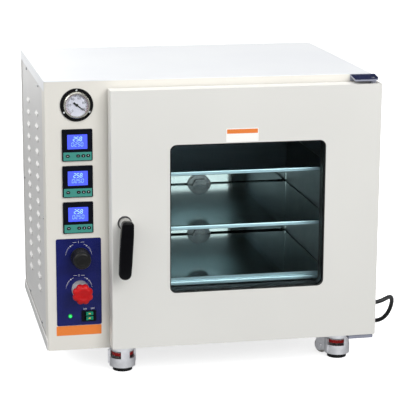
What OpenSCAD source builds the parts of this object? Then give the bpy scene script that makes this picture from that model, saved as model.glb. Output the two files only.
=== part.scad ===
// Bench vacuum oven: sheet-steel cabinet, welded vacuum chamber with three heated shelves,
// hinged window door, control column and four levelling casters. Millimetres, +Z up, front at -Y.

/* [Chamber] */
// Inner width of the chamber
chamber_w = 420; // [380:2:470]
// Inner height of the chamber
chamber_h = 390; // [360:2:430]
// Inner depth of the chamber
chamber_d = 438; // [394:2:490]
// Thickness of the chamber walls
chamber_wall = 6; // [4:0.5:8]
// Inner corner radius of the chamber
chamber_r = 14; // [8:1:20]
// Thickness of the chamber's front flange
flange_t = 8; // [6:0.5:10]
// Thickness of the insulation round the chamber
insulation_t = 38; // [25:1:40]

/* [Cabinet] */
// Distance from the left side of the cabinet to the chamber, the control bay
chamber_left = 225; // [205:1:250]
// Distance from the chamber to the right side of the cabinet
chamber_right = 75; // [68:1:85]
// Height of the chamber floor above the base
chamber_floor = 100; // [90:1:110]
// Distance from the chamber ceiling to the top of the cabinet
chamber_top = 106; // [96:1:120]
// Distance from the chamber's rear wall to the rear of the cabinet
chamber_back = 80; // [70:1:100]
// Thickness of the cabinet sheet steel
sheet_t = 1.5; // [1:0.25:2]
// Outer bend radius of the folded sheets
bend_r = 4; // [3:0.5:6]
// How far the front panel wraps round the sides
front_wrap = 45; // [35:1:60]
// How far the rear panel wraps round the sides
rear_wrap = 23; // [15:1:30]
// Height of the side lips of the top cover
lid_lip = 22.5; // [15:0.5:30]
// Height of the rail along each side of the base
rail_h = 21; // [15:1:30]
// How far the base rails stand out from the sides
rail_proud = 2.5; // [2.5:0.5:4]
// Distance of the edge screws from the front and rear faces
edge_screw_y = 130; // [100:1:160]
// Height of the screws in the middle of the side panels
mid_screw_z = 287; // [200:1:350]

/* [Side louvres] */
// Length of one louvre
louvre_l = 42; // [34:1:50]
// Height of one louvre
louvre_h = 8; // [6:0.5:10]
// How far a louvre stands out from the side panel
louvre_out = 3.6; // [2:0.2:4]
// Louvres in one column
louvre_rows = 15; // [8:1:16]
// Distance between two louvres of a column
louvre_pitch = 28.6; // [24:0.2:30]
// Height of the lowest louvre above the base
louvre_z = 100; // [90:1:110]
// Distance of the front column from the front face
louvre_front_y = 163; // [140:1:180]
// Distance between the two columns
louvre_column_gap = 185; // [160:1:200]

/* [Gasket] */
// Width of the door gasket
gasket_w = 16; // [12:1:18]
// Distance from the chamber mouth to the gasket
gasket_inset = 8; // [6:1:10]
// Depth of the gasket's groove in the flange
gasket_groove = 3; // [2:0.5:4]

/* [Shelves] */
// Thickness of a heated shelf
shelf_t = 10; // [8:0.5:12]
// Heights of the shelf tops above the chamber floor: lower, middle, upper
shelf_heights = [37, 163.5, 286];
// Radius of the rounded front edge of the shelves
shelf_nose_r = 4; // [2:0.5:5]
// How far the front lip of the lower shelf stands up
lower_lip = 7; // [3:1:12]
// Distance from the front face to the front edge of the shelves
shelf_front = 25; // [20:1:35]
// Gap between the shelves and the rear wall
shelf_rear_gap = 14; // [14:1:20]
// Gap between the shelves and the side walls
shelf_side_gap = 4; // [3:0.5:6]
// Width of the angle rails under the shelves
rail_w = 12; // [8:1:16]
// Radius of the feedthrough flange behind each shelf
port_r = 29.5; // [24:0.5:32]
// Length of the feedthroughs behind the chamber's rear wall
port_gland_l = 20; // [14:1:26]
// Sideways offset of the feedthroughs from the chamber's middle
port_offset = -11; // [-30:1:30]

/* [Door] */
// How far the door reaches past the chamber on the handle side
door_lap = 90; // [82:1:98]
// Distance from the top of the cabinet to the door's upper edge
door_drop = 17; // [16:0.5:24]
// Thickness of the door
door_t = 40; // [36:1:46]
// Gap between the door and the cabinet front
door_gap = 6; // [5:0.5:8]
// How far the door reaches past the right side of the cabinet
door_overhang = 12; // [8:1:14]
// Height of the door's lower edge above the base
door_bottom = 10; // [9.5:0.5:14]
// Width of the window opening
window_w = 345.5; // [320:0.5:360]
// Height of the window opening
window_h = 329; // [300:1:340]
// Corner radius of the window opening
window_r = 14; // [8:1:20]
// Thickness of the tempered window glass
glass_t = 12; // [8:1:16]
// How far the glass reaches behind the door sheet on each side
glass_lap = 12; // [8:1:16]

/* [Hinges] */
// Radius of the hinge pins
pin_r = 4; // [3:0.5:5]
// Distance of the hinge pins from the door's right edge
pin_inset = 16; // [15:0.5:18]
// Distance of the hinge pins behind the door's front face
pin_back = 19; // [18:0.5:20]
// How far the hinge plates reach in front of the pins
hinge_nose = 15; // [13:0.5:17]
// Length of each hinge pin inside the door
pin_engage = 22; // [15:1:30]
// Thickness of the upper hinge plate
upper_plate_t = 3.5; // [2.5:0.5:4]
// Thickness of the lower hinge plate
lower_plate_t = 6; // [4:0.5:6.5]
// Width of the hinge plates
hinge_w = 56; // [50:1:60]

/* [Handle] */
// Distance of the handle spindle from the door's left edge
handle_inset = 28.5; // [26:0.5:36]
// Distance of the handle spindle below the chamber's middle
handle_drop = 2; // [0:1:20]
// Radius of the spindle
spindle_r = 8; // [6:0.5:9]
// Outer radius of the bush and of the spindle's neck
boss_r = 13; // [12:0.5:16]
// How far the grip stands in front of the door
grip_front = 50; // [44:1:56]
// Thickness of the grip
grip_t = 22; // [18:1:26]
// Length of the grip above the spindle
grip_up = 13; // [12:1:18]
// Length of the grip below the spindle
grip_down = 114; // [100:1:125]
// Width of the grip at its upper end
grip_w_top = 25; // [22:1:28]
// Greatest width of the grip
grip_w_mid = 28; // [26:1:32]
// Lean of the grip to the left
grip_lean = 3.6; // [0:0.2:6]

/* [Control column] */
// Distance of the control column's middle from the left side
column_x = 69; // [66:1:72]
// Distance of the pressure gauge's middle below the top of the cabinet
gauge_drop = 51.5; // [46:0.5:58]
// Radius of the gauge flange
gauge_flange_r = 35.5; // [33:0.5:37]
// Radius of the gauge bezel
gauge_r = 27.75; // [25:0.25:30]
// How far the gauge bezel stands out
gauge_out = 10; // [8:0.5:14]
// Depth of the gauge body behind the panel
gauge_body_d = 20; // [16:1:30]
// Gap between the gauge flange and the highest controller
gauge_gap = 16.5; // [8:0.5:20]
// Width of a temperature controller
controller_w = 65.5; // [64:0.5:72]
// Height of a temperature controller
controller_h = 69; // [66:1:74]
// How far a controller stands out
controller_out = 5; // [4:0.5:8]
// Gap between two controllers
controller_gap = 10.5; // [4:0.5:12]
// Number of controllers, one for each shelf
controllers = 3; // [1:1:3]
// Width of a controller screen
screen_w = 43; // [38:0.5:46]
// Height of a controller screen
screen_h = 31.5; // [28:0.5:33]
// Width of the blue control plate
plate_w = 98.5; // [90:0.5:104]
// Height of the blue control plate
plate_h = 196; // [190:1:200]
// Gap between the lowest controller and the control plate
plate_gap = 12.5; // [6:0.5:16]
// Thickness of the control plate
plate_t = 1.2; // [0.8:0.1:2]

/* [Valves and switches] */
// Height of the vacuum knob above the plate's lower edge
vacuum_up = 157; // [145:1:165]
// Height of the vent knob above the plate's lower edge
vent_up = 82.5; // [80:0.5:90]
// Height of the pilot lamp above the plate's lower edge
lamp_up = 22; // [16:1:28]
// Height of the twin switch above the plate's lower edge
switch_up = 21; // [18:1:26]
// How far the valves stand right of the control column's middle
valve_shift = 2.5; // [0:0.5:4]
// Radius of the vacuum knob
vacuum_knob_r = 22.5; // [18:0.5:25]
// Depth of the vacuum knob
vacuum_knob_t = 37; // [28:1:40]
// Radius of the vent knob over its lobes
vent_knob_r = 22.8; // [18:0.2:25]
// Depth of the vent knob
vent_knob_t = 20; // [16:1:26]
// Radius of the vent valve's steel bonnet
bonnet_r = 19; // [15:0.5:20]
// Length of the vent valve's steel bonnet
bonnet_l = 30; // [20:1:34]
// Radius of the valve stems
stem_r = 5; // [4:0.5:6]
// Radius of the pilot lamp
lamp_r = 4.75; // [4:0.25:6]
// Distance of the pilot lamp from the plate's left edge
lamp_in = 29; // [20:1:36]
// Distance of the twin switch from the plate's right edge
switch_in = 28.5; // [24:0.5:30]
// Width of the twin switch
switch_w = 32; // [28:0.5:36]
// Height of the twin switch
switch_h = 24.7; // [24:0.1:28]
// Length of a switch rocker
rocker_l = 18.6; // [16:0.2:20]
// Width of a switch rocker
rocker_w = 7.7; // [6:0.1:8]
// Tilt of a rocker to each side
rocker_tilt = 8; // [5:1:10]

/* [Vacuum pipes] */
// Radius of the main vacuum pipe
pipe_r = 9; // [7:0.5:11]
// Radius of the small gauge and vent pipes
tube_r = 4; // [3:0.5:5]
// Bore radius of the rear pump port
pump_bore_r = 13.1; // [10:0.1:14]
// How far the pump port stands out at the rear
pump_port_l = 27; // [22:1:34]

/* [Casters] */
// Height of the cabinet base above the floor
foot_h = 65; // [65:1:72]
// Distance of the caster axes from the front and rear faces
caster_y = 42; // [40:1:60]
// Distance of the left casters from the left side
caster_left = 170; // [150:1:190]
// Distance of the right casters from the right side
caster_right = 51; // [51:1:70]
// Width of the square caster plates
caster_plate_w = 58; // [54:1:60]
// Outer radius of the caster housing
housing_r = 29; // [28:0.5:31]
// Radius of the caster wheel
wheel_r = 17.5; // [16:0.5:18]
// Width of the caster wheel
wheel_w = 20; // [16:1:22]
// Distance from the swivel axis to the wheel axle
wheel_offset = 39; // [38.5:0.5:42]
// Gap between the lifted wheel and the floor
wheel_lift = 1; // [0.5:0.5:2]
// Radius of the levelling pad
pad_r = 22; // [18:0.5:22]
// Height of the levelling pad
pad_h = 9; // [7:0.5:9.5]
// Radius of the red thumbwheel
thumb_r = 24; // [20:0.5:25]

/* [Power cord] */
// Diameter of the power cord
cord_d = 10; // [8:0.5:12]
// Height of the strain relief above the base
cord_exit_z = 47; // [40:1:60]
// Distance of the strain relief from the front face
cord_exit_y = 70; // [55:1:90]
// Length of the strain relief outside the panel
relief_l = 30; // [20:1:40]

/* [Hidden] */
$fn = 48;

// Clearances
seam = 0.1;        // between sheets and pieces that lie on each other
running = 0.05;    // radial, shaft in bore
loose = 0.3;       // beside a soft or moving piece
cut = 1;           // how far a cutting tool runs past the face it cuts

// Places worked out from the sizes, in the cabinet's own corner frame
cabinet_w = chamber_left + chamber_w + chamber_right;
cabinet_h = chamber_floor + chamber_h + chamber_top;
cabinet_d = chamber_d + chamber_back;
chamber_x0 = chamber_left;
chamber_x1 = chamber_left + chamber_w;
chamber_z0 = chamber_floor;
chamber_z1 = chamber_floor + chamber_h;
shelf_tops = [for (h = shelf_heights) chamber_floor + h];
door_right = cabinet_w + door_overhang;
door_left = chamber_x0 - door_lap;
door_w = door_right - door_left;
door_back = -door_gap;
door_front = door_back - door_t;
door_top = cabinet_h - door_drop;
door_h = door_top - door_bottom;
chamber_cx = (chamber_x0 + chamber_x1) / 2;
chamber_cz = (chamber_z0 + chamber_z1) / 2;
flange_y = sheet_t + seam;
gasket_out = gasket_inset + gasket_w;
mouth_gap = 5;                       // front panel opening round the gasket
flange_out = gasket_out + mouth_gap + 10;
pin_x = door_right - pin_inset;
pin_y = door_front + pin_back;
handle_x = door_left + handle_inset;
handle_z = chamber_cz - handle_drop;
grip_face = door_front - grip_front;
port_x = chamber_cx + port_offset;
port_t = 7;
hex_t = 6;
gauge_z = cabinet_h - gauge_drop;
controller_pitch = controller_h + controller_gap;
controller_top_z = gauge_z - gauge_flange_r - gauge_gap - controller_h / 2;
controller_z = controller_top_z - (controllers - 1) * controller_pitch;
plate_x0 = column_x - plate_w / 2;
plate_z = controller_z - controller_h / 2 - plate_gap - plate_h;
valve_x = column_x + valve_shift;
vacuum_z = plate_z + vacuum_up;
vent_z = plate_z + vent_up;
lamp_x = plate_x0 + lamp_in;
lamp_z = plate_z + lamp_up;
switch_x = plate_x0 + plate_w - switch_in;
switch_z = plate_z + switch_up;
plate_face = -plate_t;
pump_end = cabinet_d + pump_port_l;
base_top = sheet_t + seam;
lid_under = cabinet_h - sheet_t;
lip_z = cabinet_h - lid_lip;
side_x = sheet_t + seam;

module at_cabinet()
    translate([-(door_right - rail_proud) / 2, -(grip_face + pump_end) / 2, foot_h]) children();

// Shared shapes
function arc(cx, cy, r, a0, a1, n = 6) =
    [for (i = [0:n]) let (a = a0 + (a1 - a0) * i / n) [cx + r * cos(a), cy + r * sin(a)]];
function round_rect(x0, x1, y0, y1, r, n = 6) = concat(
    arc(x1 - r, y0 + r, r, -90, 0, n), arc(x1 - r, y1 - r, r, 0, 90, n),
    arc(x0 + r, y1 - r, r, 90, 180, n), arc(x0 + r, y0 + r, r, 180, 270, n));
// A folded sheet seen from above: a face along X with two returns towards +Y
function folded(w, d, t, r, n = 5) = concat(
    [[0, d]], arc(r, r, r, 180, 270, n), arc(w - r, r, r, 270, 360, n), [[w, d], [w - t, d]],
    arc(w - r, r, r - t, 360, 270, n), arc(r, r, r - t, 270, 180, n), [[t, d]]);

module box(x0, x1, y0, y1, z0, z1)
    translate([x0, y0, z0]) cube([x1 - x0, y1 - y0, z1 - z0]);
// Outline in X and Z, run along Y
module along_y(y0, y1)
    translate([0, y1, 0]) rotate([90, 0, 0]) linear_extrude(y1 - y0) children();
module panel(x0, x1, z0, z1, r, y0, y1)
    along_y(y0, y1) polygon(round_rect(x0, x1, z0, z1, r));
module rod_y(x, z, r, y0, y1, r2 = undef)
    translate([x, y1, z]) rotate([90, 0, 0]) cylinder(h = y1 - y0, r1 = is_undef(r2) ? r : r2, r2 = r);
module rod_x(y, z, r, x0, x1, r2 = undef)
    translate([x0, y, z]) rotate([0, 90, 0]) cylinder(h = x1 - x0, r1 = r, r2 = is_undef(r2) ? r : r2);
module rod_z(x, y, r, z0, z1, r2 = undef)
    translate([x, y, z0]) cylinder(h = z1 - z0, r1 = r, r2 = is_undef(r2) ? r : r2);

// Cabinet sheets
screw_r = 2;
screw_head_r = 4;
screw_head_t = 2;
screw_l = 8;
screw_edge = 6;      // from a sheet's edge to the screws beside it
side_screws = [for (y = [edge_screw_y, cabinet_d - edge_screw_y], z = [lip_z, rail_h + 2 * screw_edge])
        [y, z - screw_edge], [front_wrap + 2 * screw_edge, mid_screw_z],
    [cabinet_d - rear_wrap - 2 * screw_edge, mid_screw_z]];
rear_screw_x = 30;   // from the sides of the cabinet to the rear screws
rear_screws = [for (x = [rear_screw_x, cabinet_w / 2, cabinet_w - rear_screw_x],
    z = [rail_h + 2 * screw_edge, lip_z - 3 * screw_edge]) [x, z]];

module front_panel() {
    color([0.88, 0.87, 0.83]) at_cabinet() difference() {
        linear_extrude(lid_under - seam) polygon(folded(cabinet_w, front_wrap, sheet_t, bend_r));
        // the lid's lips and the base pan take the place of the returns here
        box(-cut, cabinet_w + cut, bend_r + seam, front_wrap + cut, lip_z - seam, cabinet_h);
        box(-cut, cabinet_w + cut, bend_r + seam, front_wrap + cut, -cut, base_top);
        panel(chamber_x0 - gasket_out - mouth_gap, chamber_x1 + gasket_out + mouth_gap,
            chamber_z0 - gasket_out - mouth_gap, chamber_z1 + gasket_out + mouth_gap,
            chamber_r + gasket_out, -cut, sheet_t + cut);
        rod_y(column_x, gauge_z, gauge_body_r + seam, -cut, sheet_t + cut);
        for (i = [0:controllers - 1])
            box(column_x - controller_body_w / 2 - seam, column_x + controller_body_w / 2 + seam, -cut,
                sheet_t + cut, controller_z + i * controller_pitch - controller_body_h / 2 - seam,
                controller_z + i * controller_pitch + controller_body_h / 2 + seam);
        rod_y(valve_x, vacuum_z, valve_neck_r + seam, -cut, sheet_t + cut);
        rod_y(valve_x, vent_z, valve_neck_r + seam, -cut, sheet_t + cut);
        rod_y(lamp_x, lamp_z, lamp_body_r + seam, -cut, sheet_t + cut);
        box(switch_x - switch_body_w / 2 - seam, switch_x + switch_body_w / 2 + seam, -cut, sheet_t + cut,
            switch_z - switch_body_h / 2 - seam, switch_z + switch_body_h / 2 + seam);
        panel(handle_x - striker_slot_w / 2, handle_x + striker_slot_w / 2,
            handle_z - striker_slot_h / 2, handle_z + striker_slot_h / 2, 3, -cut, sheet_t + cut);
    }
}

module top_cover() {
    color([0.93, 0.94, 0.95]) at_cabinet() union() {
        translate([0, 0, lid_under]) linear_extrude(sheet_t)
            polygon(round_rect(0, cabinet_w, 0, cabinet_d, bend_r));
        for (x = [0, cabinet_w - sheet_t])
            box(x, x + sheet_t, bend_r + seam * 2, cabinet_d - bend_r - seam * 2, lip_z, lid_under);
    }
}

// Pressed hoods, open at the bottom, over slots in the sheet; outward is -X
module louvre_hood(y, z)
    translate([0, y + louvre_l / 2, z]) rotate([90, 0, 0]) linear_extrude(louvre_l)
        polygon([[seam, louvre_h / 2], [-louvre_out, -louvre_h / 2 + 1.4], [-louvre_out, -louvre_h / 2],
            [seam, -louvre_h / 2]]);
module louvre_hollow(y, z)
    translate([0, y + louvre_l / 2 - 1, z]) rotate([90, 0, 0]) linear_extrude(louvre_l - 2)
        polygon([[sheet_t + cut, louvre_h / 2 - 2.4], [0, louvre_h / 2 - 2.4],
            [-louvre_out + 1, -louvre_h / 2 + 0.6], [-louvre_out + 1, -louvre_h / 2 - cut],
            [-seam, -louvre_h / 2 - cut], [-seam, -louvre_h / 2 + 0.2],
            [sheet_t + cut, -louvre_h / 2 + 0.2]]);

// A side panel whose outer face is the plane x = 0
module side_sheet() {
    difference() {
        union() {
            box(0, sheet_t, front_wrap - 14, cabinet_d - rear_wrap + 8, base_top, lid_under - seam);
            for (c = [0:1], i = [0:louvre_rows - 1])
                louvre_hood(louvre_front_y + c * louvre_column_gap, louvre_z + i * louvre_pitch);
        }
        for (c = [0:1], i = [0:louvre_rows - 1])
            louvre_hollow(louvre_front_y + c * louvre_column_gap, louvre_z + i * louvre_pitch);
        for (s = side_screws) rod_x(s[0], s[1], screw_r + seam, -cut, sheet_t + cut);
    }
}
module left_side_panel()
    color([0.80, 0.80, 0.79]) at_cabinet() translate([side_x, 0, 0]) side_sheet();
module right_side_panel()
    color([0.80, 0.80, 0.79]) at_cabinet() difference() {
        translate([cabinet_w - side_x, 0, 0]) mirror([1, 0, 0]) side_sheet();
        rod_x(cord_exit_y, cord_exit_z, relief_neck_r + seam, cabinet_w - side_x - sheet_t - cut,
            cabinet_w + cut);
    }

module rear_panel() {
    color([0.84, 0.84, 0.82]) at_cabinet() difference() {
        translate([0, cabinet_d, 0]) mirror([0, 1, 0]) linear_extrude(lid_under - seam)
            polygon(folded(cabinet_w, rear_wrap, sheet_t, bend_r));
        box(-cut, cabinet_w + cut, cabinet_d - rear_wrap - cut, cabinet_d - bend_r - seam,
            lip_z - seam, cabinet_h);
        box(-cut, cabinet_w + cut, cabinet_d - rear_wrap - cut, cabinet_d - bend_r - seam, -cut, base_top);
        rod_y(valve_x, vacuum_z, pipe_r + seam, cabinet_d - sheet_t - cut, cabinet_d + cut);
        for (s = rear_screws) rod_y(s[0], s[1], screw_r + seam, cabinet_d - sheet_t - cut, cabinet_d + cut);
    }
}

module base_pan() {
    color([0.82, 0.82, 0.80]) at_cabinet() union() {
        box(bend_r, cabinet_w - bend_r, sheet_t + seam, cabinet_d - sheet_t - seam, 0, sheet_t);
        for (x = [-rail_proud, cabinet_w + seam])
            box(x, x + rail_proud - seam, bend_r + seam, cabinet_d - bend_r - seam, 0, rail_h);
        box(-rail_proud, cabinet_w + rail_proud, bend_r + seam, cabinet_d - bend_r - seam, 0, sheet_t);
    }
}

module pan_screw()
    union() {
        cylinder(h = screw_head_t, r1 = screw_head_r, r2 = screw_head_r * 0.7);
        translate([0, 0, -screw_l]) cylinder(h = screw_l, r = screw_r);
    }
module cabinet_screws() {
    color([0.55, 0.55, 0.55]) at_cabinet() {
        for (s = side_screws) {
            translate([side_x, s[0], s[1]]) rotate([0, -90, 0]) pan_screw();
            translate([cabinet_w - side_x, s[0], s[1]]) rotate([0, 90, 0]) pan_screw();
        }
        for (s = rear_screws) translate([s[0], cabinet_d, s[1]]) rotate([-90, 0, 0]) pan_screw();
    }
}

// Chamber and what it holds
lamp_glass_r = 18;
lamp_y = 70;

module chamber_outline(out, r_out)
    polygon(round_rect(chamber_x0 - out, chamber_x1 + out, chamber_z0 - out, chamber_z1 + out,
        chamber_r + r_out));

module vacuum_chamber() {
    color([0.72, 0.74, 0.75]) at_cabinet() difference() {
        union() {
            along_y(flange_y, chamber_d + chamber_wall) chamber_outline(chamber_wall, chamber_wall);
            along_y(flange_y, flange_y + flange_t) chamber_outline(flange_out, chamber_wall);
        }
        along_y(-cut, chamber_d) chamber_outline(0, 0);
        difference() {
            along_y(-cut, flange_y + gasket_groove) chamber_outline(gasket_out, gasket_out);
            along_y(-2 * cut, flange_y + gasket_groove + cut) chamber_outline(gasket_inset, gasket_inset);
        }
        rod_z(chamber_cx, lamp_y, lamp_glass_r + seam, chamber_z1 - cut, chamber_z1 + chamber_wall + cut);
        for (z = shelf_tops)
            rod_y(port_x, z - shelf_t / 2, port_neck_r + seam, chamber_d - cut, chamber_d + chamber_wall + cut);
    }
}

module door_gasket() {
    color([0.80, 0.22, 0.14]) at_cabinet() difference() {
        along_y(door_back + loose, flange_y + gasket_groove - seam)
            chamber_outline(gasket_out - seam, gasket_out - seam);
        along_y(door_back - cut, flange_y + gasket_groove + cut)
            chamber_outline(gasket_inset + seam, gasket_inset + seam);
    }
}

// Angle rails welded to the side walls: a ledge under the shelf and a leg up the wall
module shelf_rails() {
    rail_t = 1.5;
    y1 = chamber_d - chamber_r;
    color([0.70, 0.72, 0.73]) at_cabinet()
        for (z = shelf_tops, side = [0, 1]) {
            top = z - shelf_t - seam;
            x_wall = side == 0 ? chamber_x0 + seam : chamber_x1 - seam - rail_w;
            x_leg = side == 0 ? x_wall : x_wall + rail_w - rail_t;
            union() {
                box(x_wall, x_wall + rail_w, shelf_front - 4, y1, top - rail_t, top);
                box(x_leg, x_leg + rail_t, shelf_front - 4, y1, top - rail_t, z - 1);
            }
        }
}

// Vacuum-tight feedthrough behind each shelf: flange, hexagon nut, socket and rear gland
port_neck_r = 14;
socket_r = 6;
module shelf_ports() {
    color([0.45, 0.46, 0.47]) at_cabinet()
        for (z = shelf_tops) {
            pz = z - shelf_t / 2;
            difference() {
                union() {
                    rod_y(port_x, pz, port_r, chamber_d - port_t, chamber_d - seam);
                    translate([port_x, chamber_d - port_t, pz]) rotate([90, 0, 0])
                        cylinder(h = hex_t, r = port_r * 0.7, $fn = 6);
                    rod_y(port_x, pz, port_neck_r, chamber_d - 2, chamber_d + chamber_wall + port_gland_l);
                }
                rod_y(port_x, pz, socket_r, chamber_d - port_t - hex_t - cut, chamber_d + 2);
            }
        }
}

module shelf(z, lip_up, tint) {
    x0 = chamber_x0 + shelf_side_gap;
    x1 = chamber_x1 - shelf_side_gap;
    y1 = chamber_d - shelf_rear_gap;
    lip_t = 3;
    color(tint) at_cabinet() union() {
        shelf_plate(x0, x1, y1, z);
        if (lip_up > 0)
            box(x0 + lip_t, x1 - lip_t, shelf_front + shelf_nose_r, shelf_front + shelf_nose_r + lip_t, z - 1,
                z + lip_up);
        // heater plug that enters the feedthrough
        rod_y(port_x, z - shelf_t / 2, socket_r - 2 * loose, y1 - 1, chamber_d - 2);
    }
}
// Side outline of a shelf, run along X: the front upper edge is rounded
module shelf_plate(x0, x1, y1, z)
    translate([x0, 0, z]) rotate([90, 0, 90]) linear_extrude(x1 - x0) polygon(concat(
        [[y1, -shelf_t], [y1, 0]],
        arc(shelf_front + shelf_nose_r, -shelf_nose_r, shelf_nose_r, 90, 180, 8),
        [[shelf_front, -shelf_t + 1], [shelf_front + 1, -shelf_t]]));
module shelf_lower() shelf(shelf_tops[0], lower_lip, [0.78, 0.82, 0.84]);
module shelf_middle() shelf(shelf_tops[1], 0, [0.78, 0.82, 0.84]);
module shelf_upper() shelf(shelf_tops[2], 0, [0.78, 0.82, 0.84]);

module insulation() {
    out = chamber_wall + insulation_t;
    color([0.90, 0.86, 0.70]) at_cabinet() difference() {
        along_y(flange_y + flange_t + seam, chamber_d + out) chamber_outline(out, chamber_wall);
        along_y(0, chamber_d + chamber_wall + seam)
            chamber_outline(chamber_wall + seam, chamber_wall + seam);
        rod_z(chamber_cx, lamp_y, lamp_body_out + loose, chamber_z1, chamber_z1 + out + cut);
        for (z = shelf_tops)
            rod_y(port_x, z - shelf_t / 2, port_neck_r + loose, chamber_d, chamber_d + out - cut);
        rod_x(pipe_y, vacuum_z, pipe_r + loose, chamber_x0 - out - cut, chamber_x0);
        rod_x(vent_pipe_y, vent_z, tube_r + loose, chamber_x0 - out - cut, chamber_x0);
        rod_x(gauge_pipe_y, gauge_pipe_z, tube_r + loose, chamber_x0 - out - cut, chamber_x0);
    }
}

// Lamp let into the chamber's ceiling: glass dome below, socket above
lamp_body_out = 24;
module chamber_lamp() {
    dome_h = 8;
    color([0.95, 0.95, 0.88]) at_cabinet() union() {
        rod_z(chamber_cx, lamp_y, lamp_glass_r, chamber_z1 - dome_h, chamber_z1 + chamber_wall + 1);
        rod_z(chamber_cx, lamp_y, lamp_body_out, chamber_z1 + chamber_wall + seam,
            chamber_z1 + chamber_wall + 6);
        rod_z(chamber_cx, lamp_y, 12, chamber_z1 + chamber_wall + 5, chamber_z1 + chamber_wall + 30);
    }
}

// Door: a folded shell, the glass behind its window and a liner that closes the back
door_fold = 3;      // bend radius of the door's vertical edges
glass_y = door_front + sheet_t + seam;
liner_clear = 1;    // the liner's window is this much larger than the clear opening
liner_clear_right = 3;
hinge_block = 24;

module door_shell() {
    color([0.87, 0.865, 0.84]) at_cabinet() difference() {
        union() {
            difference() {
                union() {
                    translate([door_left, door_front, door_bottom]) linear_extrude(door_h)
                        polygon(folded(door_w, door_t - sheet_t - seam, sheet_t, door_fold));
                    for (z = [door_bottom, door_top - sheet_t])
                        box(door_left + sheet_t, door_right - sheet_t, door_front + sheet_t - 0.2,
                            door_back - sheet_t - seam, z, z + sheet_t);
                }
                panel(chamber_cx - window_w / 2, chamber_cx + window_w / 2, chamber_cz - window_h / 2,
                    chamber_cz + window_h / 2, window_r, door_front - cut, door_front + sheet_t + cut);
            }
            // blocks that carry the hinge bores
            for (z = [door_bottom + sheet_t - 0.2, door_top - sheet_t - hinge_block + 0.2])
                box(pin_x - 10, door_right - sheet_t + 0.2, door_front + sheet_t - 0.2, pin_y + 10, z,
                    z + hinge_block);
        }
        rod_z(pin_x, pin_y, pin_r + running, door_bottom - cut, door_bottom + sheet_t + hinge_block + cut);
        rod_z(pin_x, pin_y, pin_r + running, door_top - sheet_t - hinge_block - cut, door_top + cut);
        rod_y(handle_x, handle_z, boss_r - 2 + seam, door_front - cut, door_front + sheet_t + cut);
    }
}

module door_liner() {
    lap = glass_lap + 1;
    wall_y = glass_y + glass_t + seam;
    color([0.80, 0.80, 0.78]) at_cabinet() difference() {
        union() {
            // back sheet and the deep frame that presses the glass against the shell
            panel(door_left, door_right, door_bottom, door_top, door_fold, door_back - sheet_t, door_back);
            panel(chamber_cx - window_w / 2 - lap, chamber_cx + window_w / 2 + lap,
                chamber_cz - window_h / 2 - lap, chamber_cz + window_h / 2 + lap, window_r + lap,
                wall_y, door_back - sheet_t / 2);
        }
        panel(chamber_cx - window_w / 2 - liner_clear, chamber_cx + window_w / 2 + liner_clear_right,
            chamber_cz - window_h / 2 - liner_clear, chamber_cz + window_h / 2 + liner_clear, window_r,
            wall_y - cut, door_back + cut);
        rod_y(handle_x, handle_z, boss_r - 2 + seam, door_back - sheet_t - cut, door_back + cut);
    }
}

module window_glass() {
    color([0.25, 0.30, 0.33, 0.5]) at_cabinet()
        panel(chamber_cx - window_w / 2 - glass_lap, chamber_cx + window_w / 2 + glass_lap,
            chamber_cz - window_h / 2 - glass_lap, chamber_cz + window_h / 2 + glass_lap,
            window_r + glass_lap, glass_y, glass_y + glass_t);
}

// Hinges: the brackets carry the pins, and the door's blocks turn on them
module hinge_brackets() {
    x1 = door_right - 4.5;
    x0 = x1 - hinge_w;
    front = pin_y - hinge_nose;
    leg_z0 = door_top + loose * 5;
    plate_top = door_bottom - hinge_seat;
    foot_in = 4;
    foot_w = 18;
    foot_t = 3.5;
    foot_l = 40;
    color([0.16, 0.17, 0.26]) at_cabinet() {
        difference() {
            union() {
                // upper plate slopes down a little to the front, folded down onto the cabinet face
                sloped_plate(x0, x1, front, upper_plate_t);
                box(x0, x0 + hinge_w - 8, -upper_plate_t, -seam, leg_z0, lid_under - 2);
                rod_z(pin_x, pin_y, pin_r + 3, upper_seat_z, lid_under - slope_drop);
            }
            rod_z(pin_x, pin_y, pin_r + seam, door_top - cut, cabinet_h + cut);
        }
        difference() {
            union() {
                box(x0, x1, front, -seam, plate_top - lower_plate_t, plate_top);
                // tongue down the cabinet's face and under its base
                box(x1 - foot_in - foot_w, x1 - foot_in, -foot_t, -seam, -foot_t, plate_top);
                box(x1 - foot_in - foot_w, x1 - foot_in, -foot_t, foot_l, -foot_t, -seam);
            }
            rod_z(pin_x, pin_y, pin_r + seam, -cut, door_bottom + cut);
        }
    }
}
slope_drop = 6;
hinge_seat = 0.5;      // between the door's lower edge and the lower plate
upper_seat_z = door_top + 1;
module sloped_plate(x0, x1, front, t)
    intersection() {
        translate([x0, 0, 0]) rotate([90, 0, 90]) linear_extrude(x1 - x0)
            polygon([[-seam, lid_under - t], [-seam, lid_under], [front, lid_under - slope_drop],
                [front, lid_under - slope_drop - t]]);
        translate([0, 0, door_top]) linear_extrude(cabinet_h - door_top)
            polygon(concat([[x0, 0]], arc(x0 + 4, front + 4, 4, 180, 270), arc(x1 - 16, front + 16, 16, 270, 360),
                [[x1, 0]]));
    }

module hinge_pins() {
    head = 1.5;
    color([0.75, 0.76, 0.78]) at_cabinet() {
        top = lid_under - slope_drop * pin_y / (pin_y - hinge_nose);
        under = door_bottom - hinge_seat - lower_plate_t;
        rod_z(pin_x, pin_y, pin_r, door_top - pin_engage, top + 0.6);
        union() {
            rod_z(pin_x, pin_y, pin_r, under, door_bottom + pin_engage);
            rod_z(pin_x, pin_y, pin_r + 2, under - head, under);
        }
    }
}

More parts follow.
